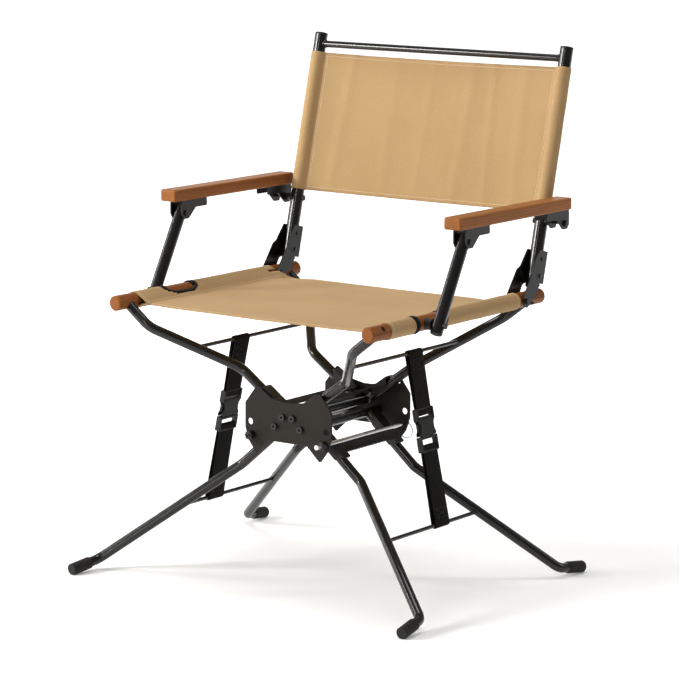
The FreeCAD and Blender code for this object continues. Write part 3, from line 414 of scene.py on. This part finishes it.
def grid_lines(low, high, step, special):
    """Evenly spaced values from low to high, with the special ones exactly on lines."""
    fixed = sorted({low, high, *special})
    lines = []
    for a, b in zip(fixed, fixed[1:]):
        count = max(1, round((b - a) / step))
        lines += [a + (b - a) * i / count for i in range(count)]
    return lines + [high]


class Cloth:
    """A thin cloth with a flat pattern: s across, from the middle, and r along. A profile has the
    shape across, lift the small folds, and place() maps the pattern to the chair."""

    def __init__(self, profile, to_space, thick, lift):
        self.profile = profile
        self.to_space = to_space
        self.thick = thick
        self.lift = lift

    def place(self, s, r, height=0.0):
        point, normal = self.profile.at(s)
        point = point + normal * (height + self.lift(s, r))
        return self.to_space(point, r)

    def build(self, name, s_lines, r_lines, inside, body):
        """The cloth as a closed sheet, from the cells of the pattern that are inside."""
        index = {}
        points = []
        flat = []
        for layer in (0.5, -0.5):
            for i, s in enumerate(s_lines):
                for j, r in enumerate(r_lines):
                    index[layer, i, j] = len(points)
                    points.append(self.place(s, r, layer * self.thick))
                    flat.append((s, r))
        cells = {(i, j) for i in range(len(s_lines) - 1) for j in range(len(r_lines) - 1)
                 if inside((s_lines[i] + s_lines[i + 1]) / 2, (r_lines[j] + r_lines[j + 1]) / 2)}
        faces = []
        for i, j in cells:
            corners = [(i, j), (i + 1, j), (i + 1, j + 1), (i, j + 1)]
            faces.append([index[0.5, a, b] for a, b in corners])
            faces.append([index[-0.5, a, b] for a, b in reversed(corners)])
            sides = (((i, j - 1), 0, 1), ((i + 1, j), 1, 2), ((i, j + 1), 2, 3), ((i - 1, j), 3, 0))
            for beyond, a, b in sides:
                if beyond not in cells:
                    first, second = corners[a], corners[b]
                    faces.append([index[0.5, *second], index[0.5, *first], index[-0.5, *first],
                                  index[-0.5, *second]])
        used = sorted({v for face in faces for v in face})
        number = {v: n for n, v in enumerate(used)}
        return add_mesh(name, [points[v] for v in used], [[number[v] for v in f] for f in faces],
                        LOOKS["canvas"], body, True, [flat[v] for v in used])


def stitches(name, cloths_lines, material, body, slot, pitch=3.8 * MM, length=2.9 * MM,
             wide=0.6 * MM):
    """Rows of thread, each stitch a small rounded bead sunk into the cloth.
    A line is (cloth, points on its flat pattern, height above the middle of the cloth)."""
    made = Parts()
    for cloth, route, height in cloths_lines:
        marks = Profile(route)
        count = int(2 * marks.half / pitch)
        for n in range(count):
            centre = (n + 0.5) * pitch - marks.half
            rings = []
            for share, swell in ((-0.5, 0.25), (-0.32, 0.9), (0, 1.0), (0.32, 0.9), (0.5, 0.25)):
                place, across = marks.at(centre + share * length)
                ring = []
                for turn in range(6):
                    angle = math.pi * turn / 3
                    side = across * math.cos(angle) * wide * swell
                    up = height + math.sin(angle) * wide * 0.7 * swell - abs(share) * 0.35 * MM
                    ring.append(cloth.place(place.x + side.x, place.y + side.y, up))
                rings.append(ring)
            made.tube(rings)
    return made.piece(name, material, body, slot)


def binding(name, cloth, routes, body, slot):
    """A tape folded over a cut edge.  A route runs along the edge with the cloth on its left, and
    comes with the width of the tape."""
    made = Parts()
    half = cloth.thick / 2
    for route, width in routes:
        section = [(width, half + 0.3 * MM), (width * 0.5, half + 0.45 * MM),
                   (0.4 * MM, half + 0.4 * MM), (-0.6 * MM, half * 0.5), (-0.6 * MM, -half * 0.5),
                   (0.4 * MM, -half - 0.25 * MM), (width * 0.5, -half - 0.3 * MM),
                   (width, -half - 0.2 * MM)]
        marks = Profile(route)
        count = max(8, int(2 * marks.half / (3 * MM)))
        rings = []
        flat = []
        for n in range(count + 1):
            along = 2 * marks.half * n / count
            place, across = marks.at(along - marks.half)
            ring = []
            for depth, height in section:
                spot = place + across * depth
                ring.append(cloth.place(spot.x, spot.y, height))
                flat.append((along, depth + height))
            rings.append(ring)
        made.tube(rings, flat=flat)
    return made.piece(name, LOOKS["webbing"], body, slot)


# ------------------------------------------------------------------------------- seat
RAIL_LOW, RAIL_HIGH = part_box("seat_rail_right")
RAIL_R = (RAIL_HIGH[0] - RAIL_LOW[0]) / 2
RAIL_X = (RAIL_HIGH[0] + RAIL_LOW[0]) / 2
RAIL_Z = (RAIL_HIGH[2] + RAIL_LOW[2]) / 2
SEAT_LOW, SEAT_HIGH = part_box("seat_fabric")
CLOTH = 1.1 * MM                      # thickness of the canvas


def seat_profile():
    """Across the seat: under each rail from its seam, round the rail, and the slung panel."""
    radius = RAIL_R + 0.4 * MM + CLOTH / 2
    floor = RAIL_Z - 5.4 * MM
    centre = Vector((RAIL_X, RAIL_Z))
    panel = [Vector((0, floor)), Vector((0.35 * RAIL_X, floor + 0.3 * MM)),
             Vector((0.62 * RAIL_X, floor + 0.7 * MM)), Vector((0.80 * RAIL_X, floor + 1.4 * MM)),
             Vector((RAIL_X - 34 * MM, floor + 2.3 * MM)),
             Vector((RAIL_X - 28 * MM, floor + 4.4 * MM)),
             Vector((RAIL_X - 18 * MM, floor + 11.2 * MM))]
    top = math.radians(122)
    bottom = math.radians(-118)
    turns = 26
    ring = [centre + radius * Vector((math.cos(a), math.sin(a)))
            for a in (top + (bottom - top) * n / turns for n in range(turns + 1))]
    under = [Vector((RAIL_X - 22 * MM, floor + 1.2 * MM)),
             Vector((RAIL_X - 34 * MM, floor + 1.6 * MM))]
    right = spline(panel + [ring[0]], 6)[:-1] + ring + spline([ring[-1]] + under, 5)[1:]
    left = [Vector((-p.x, p.y)) for p in reversed(right[1:])]
    return Profile(left + right)


def seat_lift(s, r):
    """Small folds of the seat: long soft ripples from rail to rail, and slack at the corners."""
    inner = max(0.0, 1 - (abs(s) / (RAIL_X * 0.93)) ** 6)
    ripple = noise.noise(Vector((s * 2.2, r * 17, 3.1))) * 2.2 * MM
    fine = noise.noise(Vector((s * 30, r * 42, 8.7))) * 0.35 * MM
    corner = math.exp(-(((abs(s) - 0.205) / 0.025) ** 2) - ((r - SEAT_HIGH[1]) / 0.03) ** 2)
    return inner * ripple + fine - corner * 3.5 * MM


def build_seat():
    """The slung seat: one cloth, open round the front posts and slotted at the rear brackets."""
    profile = seat_profile()
    cloth = Cloth(profile, lambda p, r: (p.x, r, p.y), CLOTH, seat_lift)
    front, rear = SEAT_LOW[1], SEAT_HIGH[1]
    sleeve_rear = rear - 18 * MM
    cut_s = profile.where(lambda p: p.x >= RAIL_X - 19 * MM)
    slot_s = profile.where(lambda p: p.x >= RAIL_X - 22 * MM)
    cheek_s = profile.where(lambda p: p.x >= RAIL_X - 18.2 * MM)
    slot_end = profile.where(lambda p: p.x >= RAIL_X - 14.2 * MM)
    swing = JOINTS["front_post_right_swing"]["pos_m"][1]
    cut_front, cut_rear = swing - 31 * MM, swing + 56 * MM
    slot_r = sleeve_rear - 22 * MM
    bolt_r = sleeve_rear + 6 * MM
    half = profile.half
    corner = 16 * MM
    bulge = 7 * MM

    def cut_edge(r):
        """How far in the opening round a front post reaches: a shallow bow."""
        share = (2 * r - cut_front - cut_rear) / (cut_rear - cut_front)
        return cut_s + (corner - bulge) * abs(share) ** 5 - bulge * (1 - share * share)

    def inside(s, r):
        s = abs(s)
        if cut_front < r < cut_rear and s > cut_edge(r) - 1.8 * MM:
            return False
        if s < slot_s:
            ds, dr = s - slot_s + corner, r - rear + corner
            return not (ds > 0 and dr > 0 and ds * ds + dr * dr > corner * corner)
        if s < cheek_s:
            return r < bolt_r
        return r < (slot_r if s < slot_end else sleeve_rear)

    special = [side * s for side in (-1, 1) for s in (slot_s, cheek_s, slot_end)]
    s_lines = grid_lines(-half, half, CELL, special)
    r_lines = grid_lines(front, rear, CELL, [cut_front, cut_rear, slot_r, bolt_r, sleeve_rear,
                                             front + HEM_SEAM, rear - HEM_SEAM])
    sheet = cloth.build("seat_canvas", s_lines, r_lines, inside, "base")
    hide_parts("seat_fabric")

    top = CLOTH / 2 + 0.05 * MM
    rows = [(cloth, [(-half, front + HEM_SEAM), (half, front + HEM_SEAM)], top),
            (cloth, [(-slot_s + corner, rear - HEM_SEAM), (slot_s - corner, rear - HEM_SEAM)], top)]
    seam = profile.where(lambda p: p.x >= RAIL_X - 29 * MM)
    for side in (-1, 1):
        rows.append((cloth, [(side * seam, front + 3 * MM), (side * seam, rear - 20 * MM)], top))
        ends = sorted((side * (slot_end + 2 * MM), side * (half - 12 * MM)))
        level = sleeve_rear - HEM_SEAM
        rows.append((cloth, [(ends[0], level), (ends[1], level)], top))
    thread = stitches("seat_stitching", rows, PALE_THREAD, "base", "canvas")

    hem = Parts()
    fold_under(hem, cloth, -slot_s + corner, slot_s - corner, rear - 8 * MM, rear - 0.5 * MM)
    fold_under(hem, cloth, -half, half, front + 0.5 * MM, front + 8 * MM)
    hems = hem.piece("seat_hems", LOOKS["canvas"], "base", "canvas")

    routes = []
    for side in (-1, 1):
        bow = [cut_rear + (cut_front - cut_rear) * n / 24 for n in range(25)]
        bow = [(side * cut_edge(r), r) for r in bow]
        ends = [[(side * half, cut_rear), bow[0]], [bow[-1], (side * half, cut_front)]]
        for route, width in ((ends[0], TAPE), (bow, NARROW_TAPE), (ends[1], TAPE)):
            routes.append((route if side > 0 else route[::-1], width))
    tape = binding("seat_binding", cloth, routes, "base", "canvas")
    tape_rows = [(cloth, inset(route, width - 1.8 * MM), top + 0.55 * MM)
                 for route, width in routes]
    tape_thread = stitches("binding_stitching", tape_rows, BLACK_THREAD, "base", "canvas")
    width, length = 2 * half, rear - front


def inset(route, depth):
    """The route moved into the cloth on its left."""
    marks = Profile(route)
    count = max(6, int(2 * marks.half / (4 * MM)))
    found = []
    for n in range(count + 1):
        place, across = marks.at(2 * marks.half * n / count - marks.half)
        found.append(tuple(place + across * depth))
    return found


def fold_under(made, cloth, low, high, start, end, side=-1):
    """The folded layer of a hem, sewn to one side of the edge of a cloth."""
    count = max(4, int((high - low) / (5 * MM)))
    rings = []
    flat = []
    for n in range(count + 1):
        s = low + (high - low) * n / count
        ring = []
        for r, height in ((start, 0.5), (end, 0.5), (end, 1.35), ((start + end) / 2, 1.5),
                          (start, 1.35)):
            ring.append(cloth.place(s, r, side * height * cloth.thick))
            flat.append((s, r))
        rings.append(ring)
    made.tube(rings, flat=flat)


# ------------------------------------------------------------------------------- back
def post_axis():
    """Centre of the foot and direction of the right back post, from its box."""
    low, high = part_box("back_post_right")
    radius = (high[0] - low[0]) / 2
    lean = 0.0
    for _ in range(20):
        rise = high[2] - low[2] - 2 * radius * math.sin(lean)
        run = high[1] - low[1] - 2 * radius * math.cos(lean)
        lean = math.atan2(run, rise)
    foot = Vector((0, low[1] + radius * math.cos(lean), low[2] + radius * math.sin(lean)))
    return foot, Vector((0, math.sin(lean), math.cos(lean))), radius, (high[0] + low[0]) / 2


POST_FOOT, POST_UP, POST_R, POST_X = post_axis()
POST_BACK = Vector((0, POST_UP.z, -POST_UP.y))


def back_profile():
    """Across the back: behind each post from its seam, round the post, and the bellied panel."""
    radius = POST_R + 0.4 * MM + CLOTH / 2
    seam = POST_X - 15.5 * MM
    belly = 12.5 * MM
    panel = []
    for n in range(9):
        share = n / 8
        panel.append(Vector((seam * share, belly * (1 - share ** 2) + 1.5 * MM * share)))
    first = math.radians(-128)
    last = math.radians(132)
    turns = 26
    ring = [Vector((POST_X, 0)) + radius * Vector((math.cos(a), math.sin(a)))
            for a in (first + (last - first) * n / turns for n in range(turns + 1))]
    behind = [Vector((seam + 0.6 * MM, 3.0 * MM)), Vector((seam - 9 * MM, 3.6 * MM))]
    right = spline(panel, 6) + [panel[-1].lerp(ring[0], 0.5)] + ring
    right += spline([ring[-1]] + behind, 5)[1:]
    left = [Vector((-p.x, p.y)) for p in reversed(right[1:])]
    return Profile(left + right), seam


def back_lift(s, r):
    """Faint upright creases of the panel, each slanting a little."""
    inner = max(0.0, 1 - (abs(s) / (POST_X * 0.93)) ** 8)
    crease = 0.0
    for place, width, depth, slope in ((-0.195, 0.010, 0.9, 0.05), (-0.08, 0.014, 0.6, -0.03),
                                       (-0.02, 0.009, 0.5, 0.02), (0.055, 0.012, 0.8, 0.04),
                                       (0.13, 0.008, 0.7, -0.05), (0.19, 0.012, 1.0, -0.04)):
        crease -= depth * math.exp(-((s - place - slope * r) / width) ** 2)
    drift = noise.noise(Vector((s * 9, r * 5, 1.7))) * 1.6
    fine = noise.noise(Vector((s * 40, r * 30, 5.2))) * 0.3
    return (inner * (crease * 1.5 + drift) + fine) * MM


def build_back():
    """The back: one cloth from seam to seam round both posts."""
    profile, seam_x = back_profile()
    low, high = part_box("back_fabric")
    bottom = (low[2] + (POST_R + 12 * MM) * POST_UP.y - POST_FOOT.z) / POST_UP.z
    top = (high[2] - (POST_R + 2 * MM) * POST_UP.y - POST_FOOT.z) / POST_UP.z

    def to_space(p, r):
        return POST_FOOT + Vector((p.x, 0, 0)) + POST_BACK * p.y + POST_UP * r

    cloth = Cloth(profile, to_space, CLOTH, back_lift)
    half = profile.half
    seam_s = profile.where(lambda p: p.x >= seam_x - 0.1 * MM)
    s_lines = grid_lines(-half, half, CELL, [-seam_s, seam_s])
    r_lines = grid_lines(bottom, top, CELL, [bottom + HEM_SEAM, top - HEM_SEAM])
    sheet = cloth.build("back_canvas", s_lines, r_lines, lambda s, r: True, "back_frame")
    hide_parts("back_fabric")
    face = CLOTH / 2 + 0.05 * MM
    rows = []
    for level in (bottom + HEM_SEAM, top - HEM_SEAM):
        rows.append((cloth, [(-half + 10 * MM, level), (half - 10 * MM, level)], face))
        rows.append((cloth, [(-seam_s, level), (seam_s, level)], -face))
    for side in (-1, 1):
        for offset in (0.8, 4.0):
            s = side * (seam_s - offset * MM)
            for height in (face, -face):
                rows.append((cloth, [(s, bottom + 1 * MM), (s, top - 1 * MM)], height))
    thread = stitches("back_stitching", rows, PALE_THREAD, "back_frame", "canvas")
    hem = Parts()
    for start, end in ((bottom + 0.5 * MM, bottom + 9 * MM), (top - 9 * MM, top - 0.5 * MM)):
        fold_under(hem, cloth, -seam_s + 12 * MM, seam_s - 12 * MM, start, end, 1)
    hems = hem.piece("back_hems", LOOKS["canvas"], "back_frame", "canvas")


# ------------------------------------------------------------------------------- straps
def belt_route(first, first_r, second, second_r, steps=14):
    """Points, in the XZ plane, of a belt round two circles."""
    run = second - first
    run = run.normalized()
    square = Vector((run.y, -run.x))
    found = []
    for centre, radius, start in ((second, second_r, 0), (first, first_r, math.pi)):
        for n in range(steps + 1):
            angle = start + math.pi * n / steps
            found.append(centre + radius * (square * math.cos(angle) + run * math.sin(angle)))
    return found


def ribbon(made, route, middle_y, width, thick, closed=True):
    """Webbing of a set width along a route in the XZ plane, with rounded selvedges."""
    dense = []
    loop = route + route[:1] if closed else route
    for a, b in zip(loop, loop[1:]):
        count = max(1, int((b - a).length / (4 * MM)))
        dense += [a.lerp(b, n / count) for n in range(count)]
    if not closed:
        dense.append(route[-1])
    half = width / 2
    section = [(-half, 0), (-half + 0.3 * MM, 0.42), (-half + 1.2 * MM, 0.5), (0, 0.46),
               (half - 1.2 * MM, 0.5), (half - 0.3 * MM, 0.42), (half, 0),
               (half - 0.3 * MM, -0.42), (half - 1.2 * MM, -0.5), (0, -0.46),
               (-half + 1.2 * MM, -0.5), (-half + 0.3 * MM, -0.42)]
    rings = []
    flat = []
    count = len(dense)
    travelled = 0.0
    for n, point in enumerate(dense):
        before = dense[n - 1] if closed or n else point
        after = dense[(n + 1) % count] if closed or n < count - 1 else point
        way = (after - before).normalized()
        normal = Vector((-way.y, way.x))
        travelled += (point - before).length
        ring = []
        for y, up in section:
            spot = point + normal * up * thick
            ring.append((spot.x, middle_y + y, spot.y))
            flat.append((y, travelled))
        rings.append(ring)
    made.tube(rings, closed, flat)
    return dense


def box_stitch(made, spot, along, across, out, wide, tall):
    """A sewn box with a cross in it."""
    corners = [(-wide, -tall), (wide, -tall), (wide, tall), (-wide, tall)]
    lines = [(corners[n], corners[(n + 1) % 4]) for n in range(4)]
    lines += [(corners[0], corners[2]), (corners[1], corners[3])]
    for (a, b), (c, d) in lines:
        start = spot + across * a + along * b
        end = spot + across * c + along * d
        length = (end - start).length
        way = (end - start).normalized()
        side = way.cross(out)
        count = int(length / (3 * MM))
        for n in range(count):
            middle = start + way * length * (n + 0.5) / count
            rings = []
            for share, swell in ((-1, 0.3), (-0.5, 1), (0.5, 1), (1, 0.3)):
                centre = middle + way * share * 1.1 * MM
                radius = swell * 0.4 * MM
                rings.append([tuple(centre + (side * math.cos(t) + out * math.sin(t)) * radius)
                              for t in (math.pi * k / 3 for k in range(6))])
            made.tube(rings)


def strap_places(side_name, side):
    """Rod centres and rod radius of one side strap, in the XZ plane."""
    low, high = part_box("upper_rods")
    rod_r = (high[2] - low[2]) / 2
    upper = Vector((side * (high[0] - rod_r), (high[2] + low[2]) / 2))
    low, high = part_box("lower_rod_" + side_name)
    lower = Vector(((low[0] + high[0]) / 2, (low[2] + high[2]) / 2))
    return upper, lower, rod_r


def build_straps():
    """The webbing loops of both side straps, with their sewing and buckles."""
    for side_name, side in SIDES:
        upper, lower, rod_r = strap_places(side_name, side)
        along = (lower - upper).normalized()
        meet_z = (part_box("buckle_socket_" + side_name)[0][2]
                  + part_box("buckle_plug_" + side_name)[1][2]) / 2
        meet = upper + along * ((upper.y - meet_z) / -along.y)
        for name, rod, way, length, buckle in (("upper", upper, -1, SOCKET_LENGTH, "socket"),
                                               ("lower", lower, 1, PLUG_LENGTH, "plug")):
            node = "strap_%s_%s" % (name, side_name)
            low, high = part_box(node)
            middle_y = (low[1] + high[1]) / 2
            width = high[1] - low[1]
            bar = meet + along * way * (length - 9 * MM)
            made = Parts()
            loop_r = rod_r + 0.45 * MM
            route = belt_route(rod, loop_r + WEBBING / 2, bar, 1.9 * MM + WEBBING / 2)
            ribbon(made, route, middle_y, width, WEBBING)
            webbing = made.piece(node + "_webbing", LOOKS["webbing"], node, "webbing")
            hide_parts(node)
            sewn = Parts()
            square = Vector((along.y, -along.x)) * -side
            for out in (1, -1):
                place = rod - along * way * 19 * MM
                spot = place + square * out * (loop_r + WEBBING)
                direction = Vector((along.x, 0, along.y))
                box_stitch(sewn, Vector((spot.x, middle_y, spot.y)), direction, Vector((0, 1, 0)),
                           Vector((square.x, 0, square.y)) * out, width * 0.36, 8 * MM)
            sewn.piece(node + "_stitching", BLACK_THREAD, node, "webbing")
            build_buckle(side_name, side, buckle, meet, along, way, middle_y, node)


# ------------------------------------------------------------------------------- buckles
def rounded_prism(made, outline, depth, edge, to_space):
    """A plate with its long edges eased, from an outline going anticlockwise."""
    count = len(outline)
    rings = []
    for inset_by, level in ((edge, -depth), (edge * 0.3, -depth + edge * 0.3), (0, -depth + edge),
                            (0, depth - edge), (edge * 0.3, depth - edge * 0.3), (edge, depth)):
        ring = []
        for n in range(count):
            here = Vector(outline[n])
            before = (here - Vector(outline[n - 1])).normalized()
            after = (Vector(outline[(n + 1) % count]) - here).normalized()
            turn = (before + after).normalized()
            inward = Vector((-turn.y, turn.x))
            spread = max(0.35, inward.dot(Vector((-after.y, after.x))))
            spot = here + inward * inset_by / spread
            ring.append(to_space(spot.x, spot.y, level))
        rings.append(ring)
    made.tube(rings)


def build_buckle(side_name, side, kind, meet, along, way, middle_y, body):
    """Side-release buckle: the socket is a hollow shell with a bar, the plug a bar frame with a
    tongue and two sprung arms that sit in the socket's side windows."""
    node = "buckle_%s_%s" % (kind, side_name)
    square = Vector((along.y, -along.x)) * -side
    if square.x * side < 0:
        square = square * -1

    def to_space(across, down, out):
        spot = meet + along * way * down + square * out
        return (spot.x, middle_y + across, spot.y)

    made = Parts()
    half = 5.2 * MM

    def block(points, depth, edge=0.9 * MM, level=0.0):
        turn = points if way < 0 else [(-x, y) for x, y in reversed(points)]
        rounded_prism(made, [(x * MM, y * MM) for x, y in turn], depth, edge,
                      lambda a, b, c: to_space(a, b, c + level))

    if kind == "socket":
        right = [(21, 0.4), (22.5, 4), (19.5, 9), (18.2, 16), (19.5, 22), (23.5, 27), (23.5, 31)]
        face = [(-21, 0.4)] + right + [(-x, y) for x, y in right[:0:-1]]
        for level in (-1, 1):
            block(face, 1.1 * MM, 0.8 * MM, level * (half - 1.1 * MM))
        for x in (-1, 1):
            block([(x * 4 - 1.5, 2), (x * 4 + 1.5, 2), (x * 4 + 1.5, 29), (x * 4 - 1.5, 29)],
                  half - 1.6 * MM, 0.3 * MM)
            cheek = [(x * 21.6 - 1.8, 26), (x * 21.6 + 1.8, 26), (x * 21.6 + 1.8, 45),
                     (x * 21.6 - 1.8, 45)]
            block(cheek, half, 0.9 * MM)
        block([(-22, 27.5), (22, 27.5), (22, 31.5), (-22, 31.5)], half, 0.8 * MM)
        block([(-22, 43.6), (22, 43.6), (22, 46), (-22, 46)], half * 0.8, 0.8 * MM)
        bar_at = 37
    else:
        block([(-23.5, 0.4), (23.5, 0.4), (23.5, 4.6), (-23.5, 4.6)], half, 0.9 * MM)
        for x in (-1, 1):
            block([(x * 21.6 - 1.8, 4), (x * 21.6 + 1.8, 4), (x * 21.6 + 1.8, 25),
                   (x * 21.6 - 1.8, 25)], half, 0.9 * MM)
            arm = [(12.5, 1), (16, 1), (17.6, -6), (21.6, -10), (22.8, -15), (21.8, -20),
                   (18, -23.5), (14, -23), (14.5, -14)]
            points = [(x * a, b) for a, b in arm]
            block(points if x < 0 else points[::-1], half - 2.8 * MM, 0.6 * MM)
        block([(-22, 22.5), (22, 22.5), (22, 25.6), (-22, 25.6)], half * 0.9, 0.8 * MM)
        for level in (10.5, 13.0):
            block([(-8, level), (8, level), (8, level + 0.1), (-8, level + 0.1)], 0.2 * MM,
                  0.04 * MM)
        bar_at = 17
    rings = []
    for across in (-21 * MM, 21 * MM):
        ring = []
        for n in range(14):
            angle = 2 * math.pi * n / 14
            ring.append(to_space(across, bar_at * MM + 1.7 * MM * math.cos(angle),
                                 1.7 * MM * math.sin(angle)))
        rings.append(ring)
    made.tube(rings)
    piece = made.piece(node + "_shell", LOOKS["buckle_plastic"], body, "buckle_plastic", False)
    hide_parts(node)


# ------------------------------------------------------------------------------- weld beads
def weld_ring(made, centre, direction, radius, bead, seed):
    """A rippled fillet of weld round a rod or bar where it meets a tube."""
    direction = direction.normalized()
    side = direction.orthogonal().normalized()
    other = direction.cross(side)
    rings = []
    count = 40
    for n in range(count):
        angle = 2 * math.pi * n / count
        out = side * math.cos(angle) + other * math.sin(angle)
        swell = bead * (1 + 0.16 * math.sin(n * 2 * math.pi / 5 + seed))
        ring = []
        for k in range(8):
            turn = 2 * math.pi * k / 8
            spot = centre + out * (radius + swell * math.cos(turn) * 0.8)
            ring.append(tuple(spot + direction * swell * math.sin(turn)))
        rings.append(ring)
    made.tube(rings, closed=True)


def build_plugs():
    """Rounded plugs in the lower ends of the front posts."""
    for side_name, _ in SIDES:
        node = "front_post_" + side_name
        low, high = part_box(node)
        foot = Vector(JOINTS[node + "_swing"]["pos_m"])
        head = Vector(JOINTS["armrest_%s_level" % side_name]["pos_m"])
        along = (head - foot).normalized()
        radius = (high[0] - low[0]) / 2
        rise = (foot.z - low[2] - radius * math.sqrt(1 - along.z ** 2)) / along.z
        end = foot - along * rise
        across = Vector((1, 0, 0))
        square = along.cross(across)
        made = Parts()
        rings = []
        turns = [math.pi * k / 16 for k in range(32)]
        for depth, size in ((0.0, 0.99), (0.6, 0.99), (1.5, 0.9), (2.1, 0.72), (2.4, 0.4),
                            (2.5, 0.05)):
            centre = end - along * depth * MM
            rings.append([tuple(centre + (across * math.cos(a) + square * math.sin(a))
                                * radius * size) for a in turns])
        made.tube(rings)
        made.piece(node + "_plug", LOOKS["black_plastic"], node, "black_plastic")


def build_welds():
    """Weld beads at the ends of the top bar and of the strap rods."""
    beads = {body: Parts() for body in ("base", "back_frame", "legs_left", "legs_right")}
    low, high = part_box("top_bar")
    middle_y, middle_z = (low[1] + high[1]) / 2, (low[2] + high[2]) / 2
    radius = (high[1] - low[1]) / 2
    for _, side in SIDES:
        place = Vector((side * (POST_X - POST_R - 0.6 * MM), middle_y, middle_z))
        weld_ring(beads["back_frame"], place, Vector((1, 0, 0)), radius, 1.5 * MM, side)
    low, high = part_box("upper_rods")
    rod_r = (high[2] - low[2]) / 2
    rods = [("base", side * (high[0] - rod_r), low, high, 90) for _, side in SIDES]
    for side_name, _ in SIDES:
        low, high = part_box("lower_rod_" + side_name)
        rods.append(("legs_" + side_name, (low[0] + high[0]) / 2, low, high, 70))
    for body, x, low, high, seed in rods:
        for end in (low[1] + 1 * MM, high[1] - 1 * MM):
            weld_ring(beads[body], Vector((x, end, (low[2] + high[2]) / 2)), Vector((0, 1, 0)),
                      rod_r, 1.2 * MM, end * seed)
    for body, made in beads.items():
        made.piece("welds_" + body, LOOKS["black_tube"], body, "black_tube")


# ------------------------------------------------------------------------------- studio
BACKDROP = (-0.583, 0.812, 0.0)       # where the white backdrop stands, seen from the chair
FLOOR_REACH = 30                      # half the floor's width, in metres
LAMP_AIM = Vector((0, 0, 0.45))
LAMPS = (("key", (-2.8, -3.0, 1.9), (1.1, 1.1), 168, (1.0, 0.98, 0.95)),
         ("strip", (-3.2, -0.9, 1.4), (0.25, 2.4), 34, (1.0, 1.0, 1.0)),
         ("line", (0.2, -3.4, 1.3), (0.08, 2.6), 26, (1.0, 0.98, 0.95)),
         ("rim", (2.6, 2.4, 2.4), (0.4, 1.6), 22, (1.0, 1.0, 1.0)),
         ("top", (-0.4, 0.2, 4.0), (1.8, 1.8), 80, (1.0, 1.0, 1.0)))
VIEW_ANGLES = (35.69, 9.895, 0.31)    # azimuth, elevation and roll, in degrees
VIEW_DISTANCE = 5.038
VIEW_AIM = Vector((0.0184, 0.0055, 0.394))
LENS, SENSOR = 163.1, 36


def build_floor():
    """A pale floor with painted light: it glows, more brightly towards the backdrop."""
    reach = FLOOR_REACH
    floor = bpy.data.meshes.new("floor")
    corners = [(-reach, -reach, 0), (reach, -reach, 0), (reach, reach, 0), (-reach, reach, 0)]
    floor.from_pydata(corners, [], [(0, 1, 2, 3)])
    ground = bpy.data.objects.new("floor", floor)
    bpy.context.scene.collection.objects.link(ground)
    g = Graph("floor", Roughness=0.9, Specular_IOR_Level=0.05)
    pale = g.ramp(g.noise(g.place(), 2.0), [(0.3, (0.90, 0.90, 0.90)), (0.7, (0.92, 0.92, 0.92))])
    # painted light: the floor emits light, weakly near the chair and almost white towards the
    # backdrop
    behind = g.node("ShaderNodeVectorMath", operation="DOT_PRODUCT")
    behind.inputs[1].default_value = BACKDROP
    g.link(g.place(), behind.inputs[0])
    painted_floor_glow = g.node("ShaderNodeMapRange", interpolation_type="SMOOTHSTEP")
    for socket, value in (("From Min", 0.2), ("From Max", 2.6), ("To Min", 0.16), ("To Max", 0.95)):
        painted_floor_glow.inputs[socket].default_value = value
    g.link(behind.outputs["Value"], painted_floor_glow.inputs["Value"])
    g.shader.inputs["Emission Color"].default_value = (1, 1, 1, 1)
    g.link(painted_floor_glow.outputs["Result"], g.shader.inputs["Emission Strength"])
    floor.materials.append(g.done(pale))


def build_world():
    """Grey all round, white behind the chair."""
    world = bpy.data.worlds.new("studio")
    bpy.context.scene.world = world
    world.use_nodes = True
    tree = world.node_tree
    coords = tree.nodes.new("ShaderNodeTexCoord")
    facing = tree.nodes.new("ShaderNodeVectorMath")
    facing.operation = "DOT_PRODUCT"
    facing.inputs[1].default_value = BACKDROP
    tree.links.new(coords.outputs["Generated"], facing.inputs[0])
    fade = tree.nodes.new("ShaderNodeValToRGB")
    for element, place, grey in zip(fade.color_ramp.elements, (0.7, 0.93), (0.2, 1.05)):
        element.position = place
        element.color = (grey, grey, grey, 1)
    tree.links.new(facing.outputs["Value"], fade.inputs["Fac"])
    tree.links.new(fade.outputs["Color"], tree.nodes["Background"].inputs["Color"])


def build_lamps():
    """Soft lamps in front and above, a narrow one beside the camera, and a rim behind."""
    for name, place, shape, power, colour in LAMPS:
        lamp = bpy.data.lights.new(name, "AREA")
        lamp.shape = "RECTANGLE"
        lamp.size, lamp.size_y = shape
        lamp.energy = power
        lamp.color = colour
        light = bpy.data.objects.new(name, lamp)
        light.location = place
        aim = LAMP_AIM - Vector(place)
        light.rotation_euler = aim.to_track_quat("-Z", "Y").to_euler()
        bpy.context.scene.collection.objects.link(light)
    bpy.context.scene.view_settings.view_transform = "Standard"


def build_camera():
    """A long lens, a little above the seat, in front and to the right."""
    azimuth, elevation, roll = (math.radians(angle) for angle in VIEW_ANGLES)
    away = Vector((math.sin(azimuth) * math.cos(elevation),
                   -math.cos(azimuth) * math.cos(elevation), math.sin(elevation)))
    lens = bpy.data.cameras.new("camera")
    lens.lens = LENS
    lens.sensor_width = SENSOR
    camera = bpy.data.objects.new("camera", lens)
    camera.location = VIEW_AIM + away * VIEW_DISTANCE
    turn = (-away).to_track_quat("-Z", "Y").to_matrix().to_4x4() @ Matrix.Rotation(roll, 4, "Z")
    camera.rotation_euler = turn.to_euler()
    bpy.context.scene.collection.objects.link(camera)
    bpy.context.scene.camera = camera


dress_frame()
build_seat()
build_back()
build_straps()
build_welds()
build_plugs()
build_floor()
build_world()
build_lamps()
build_camera()
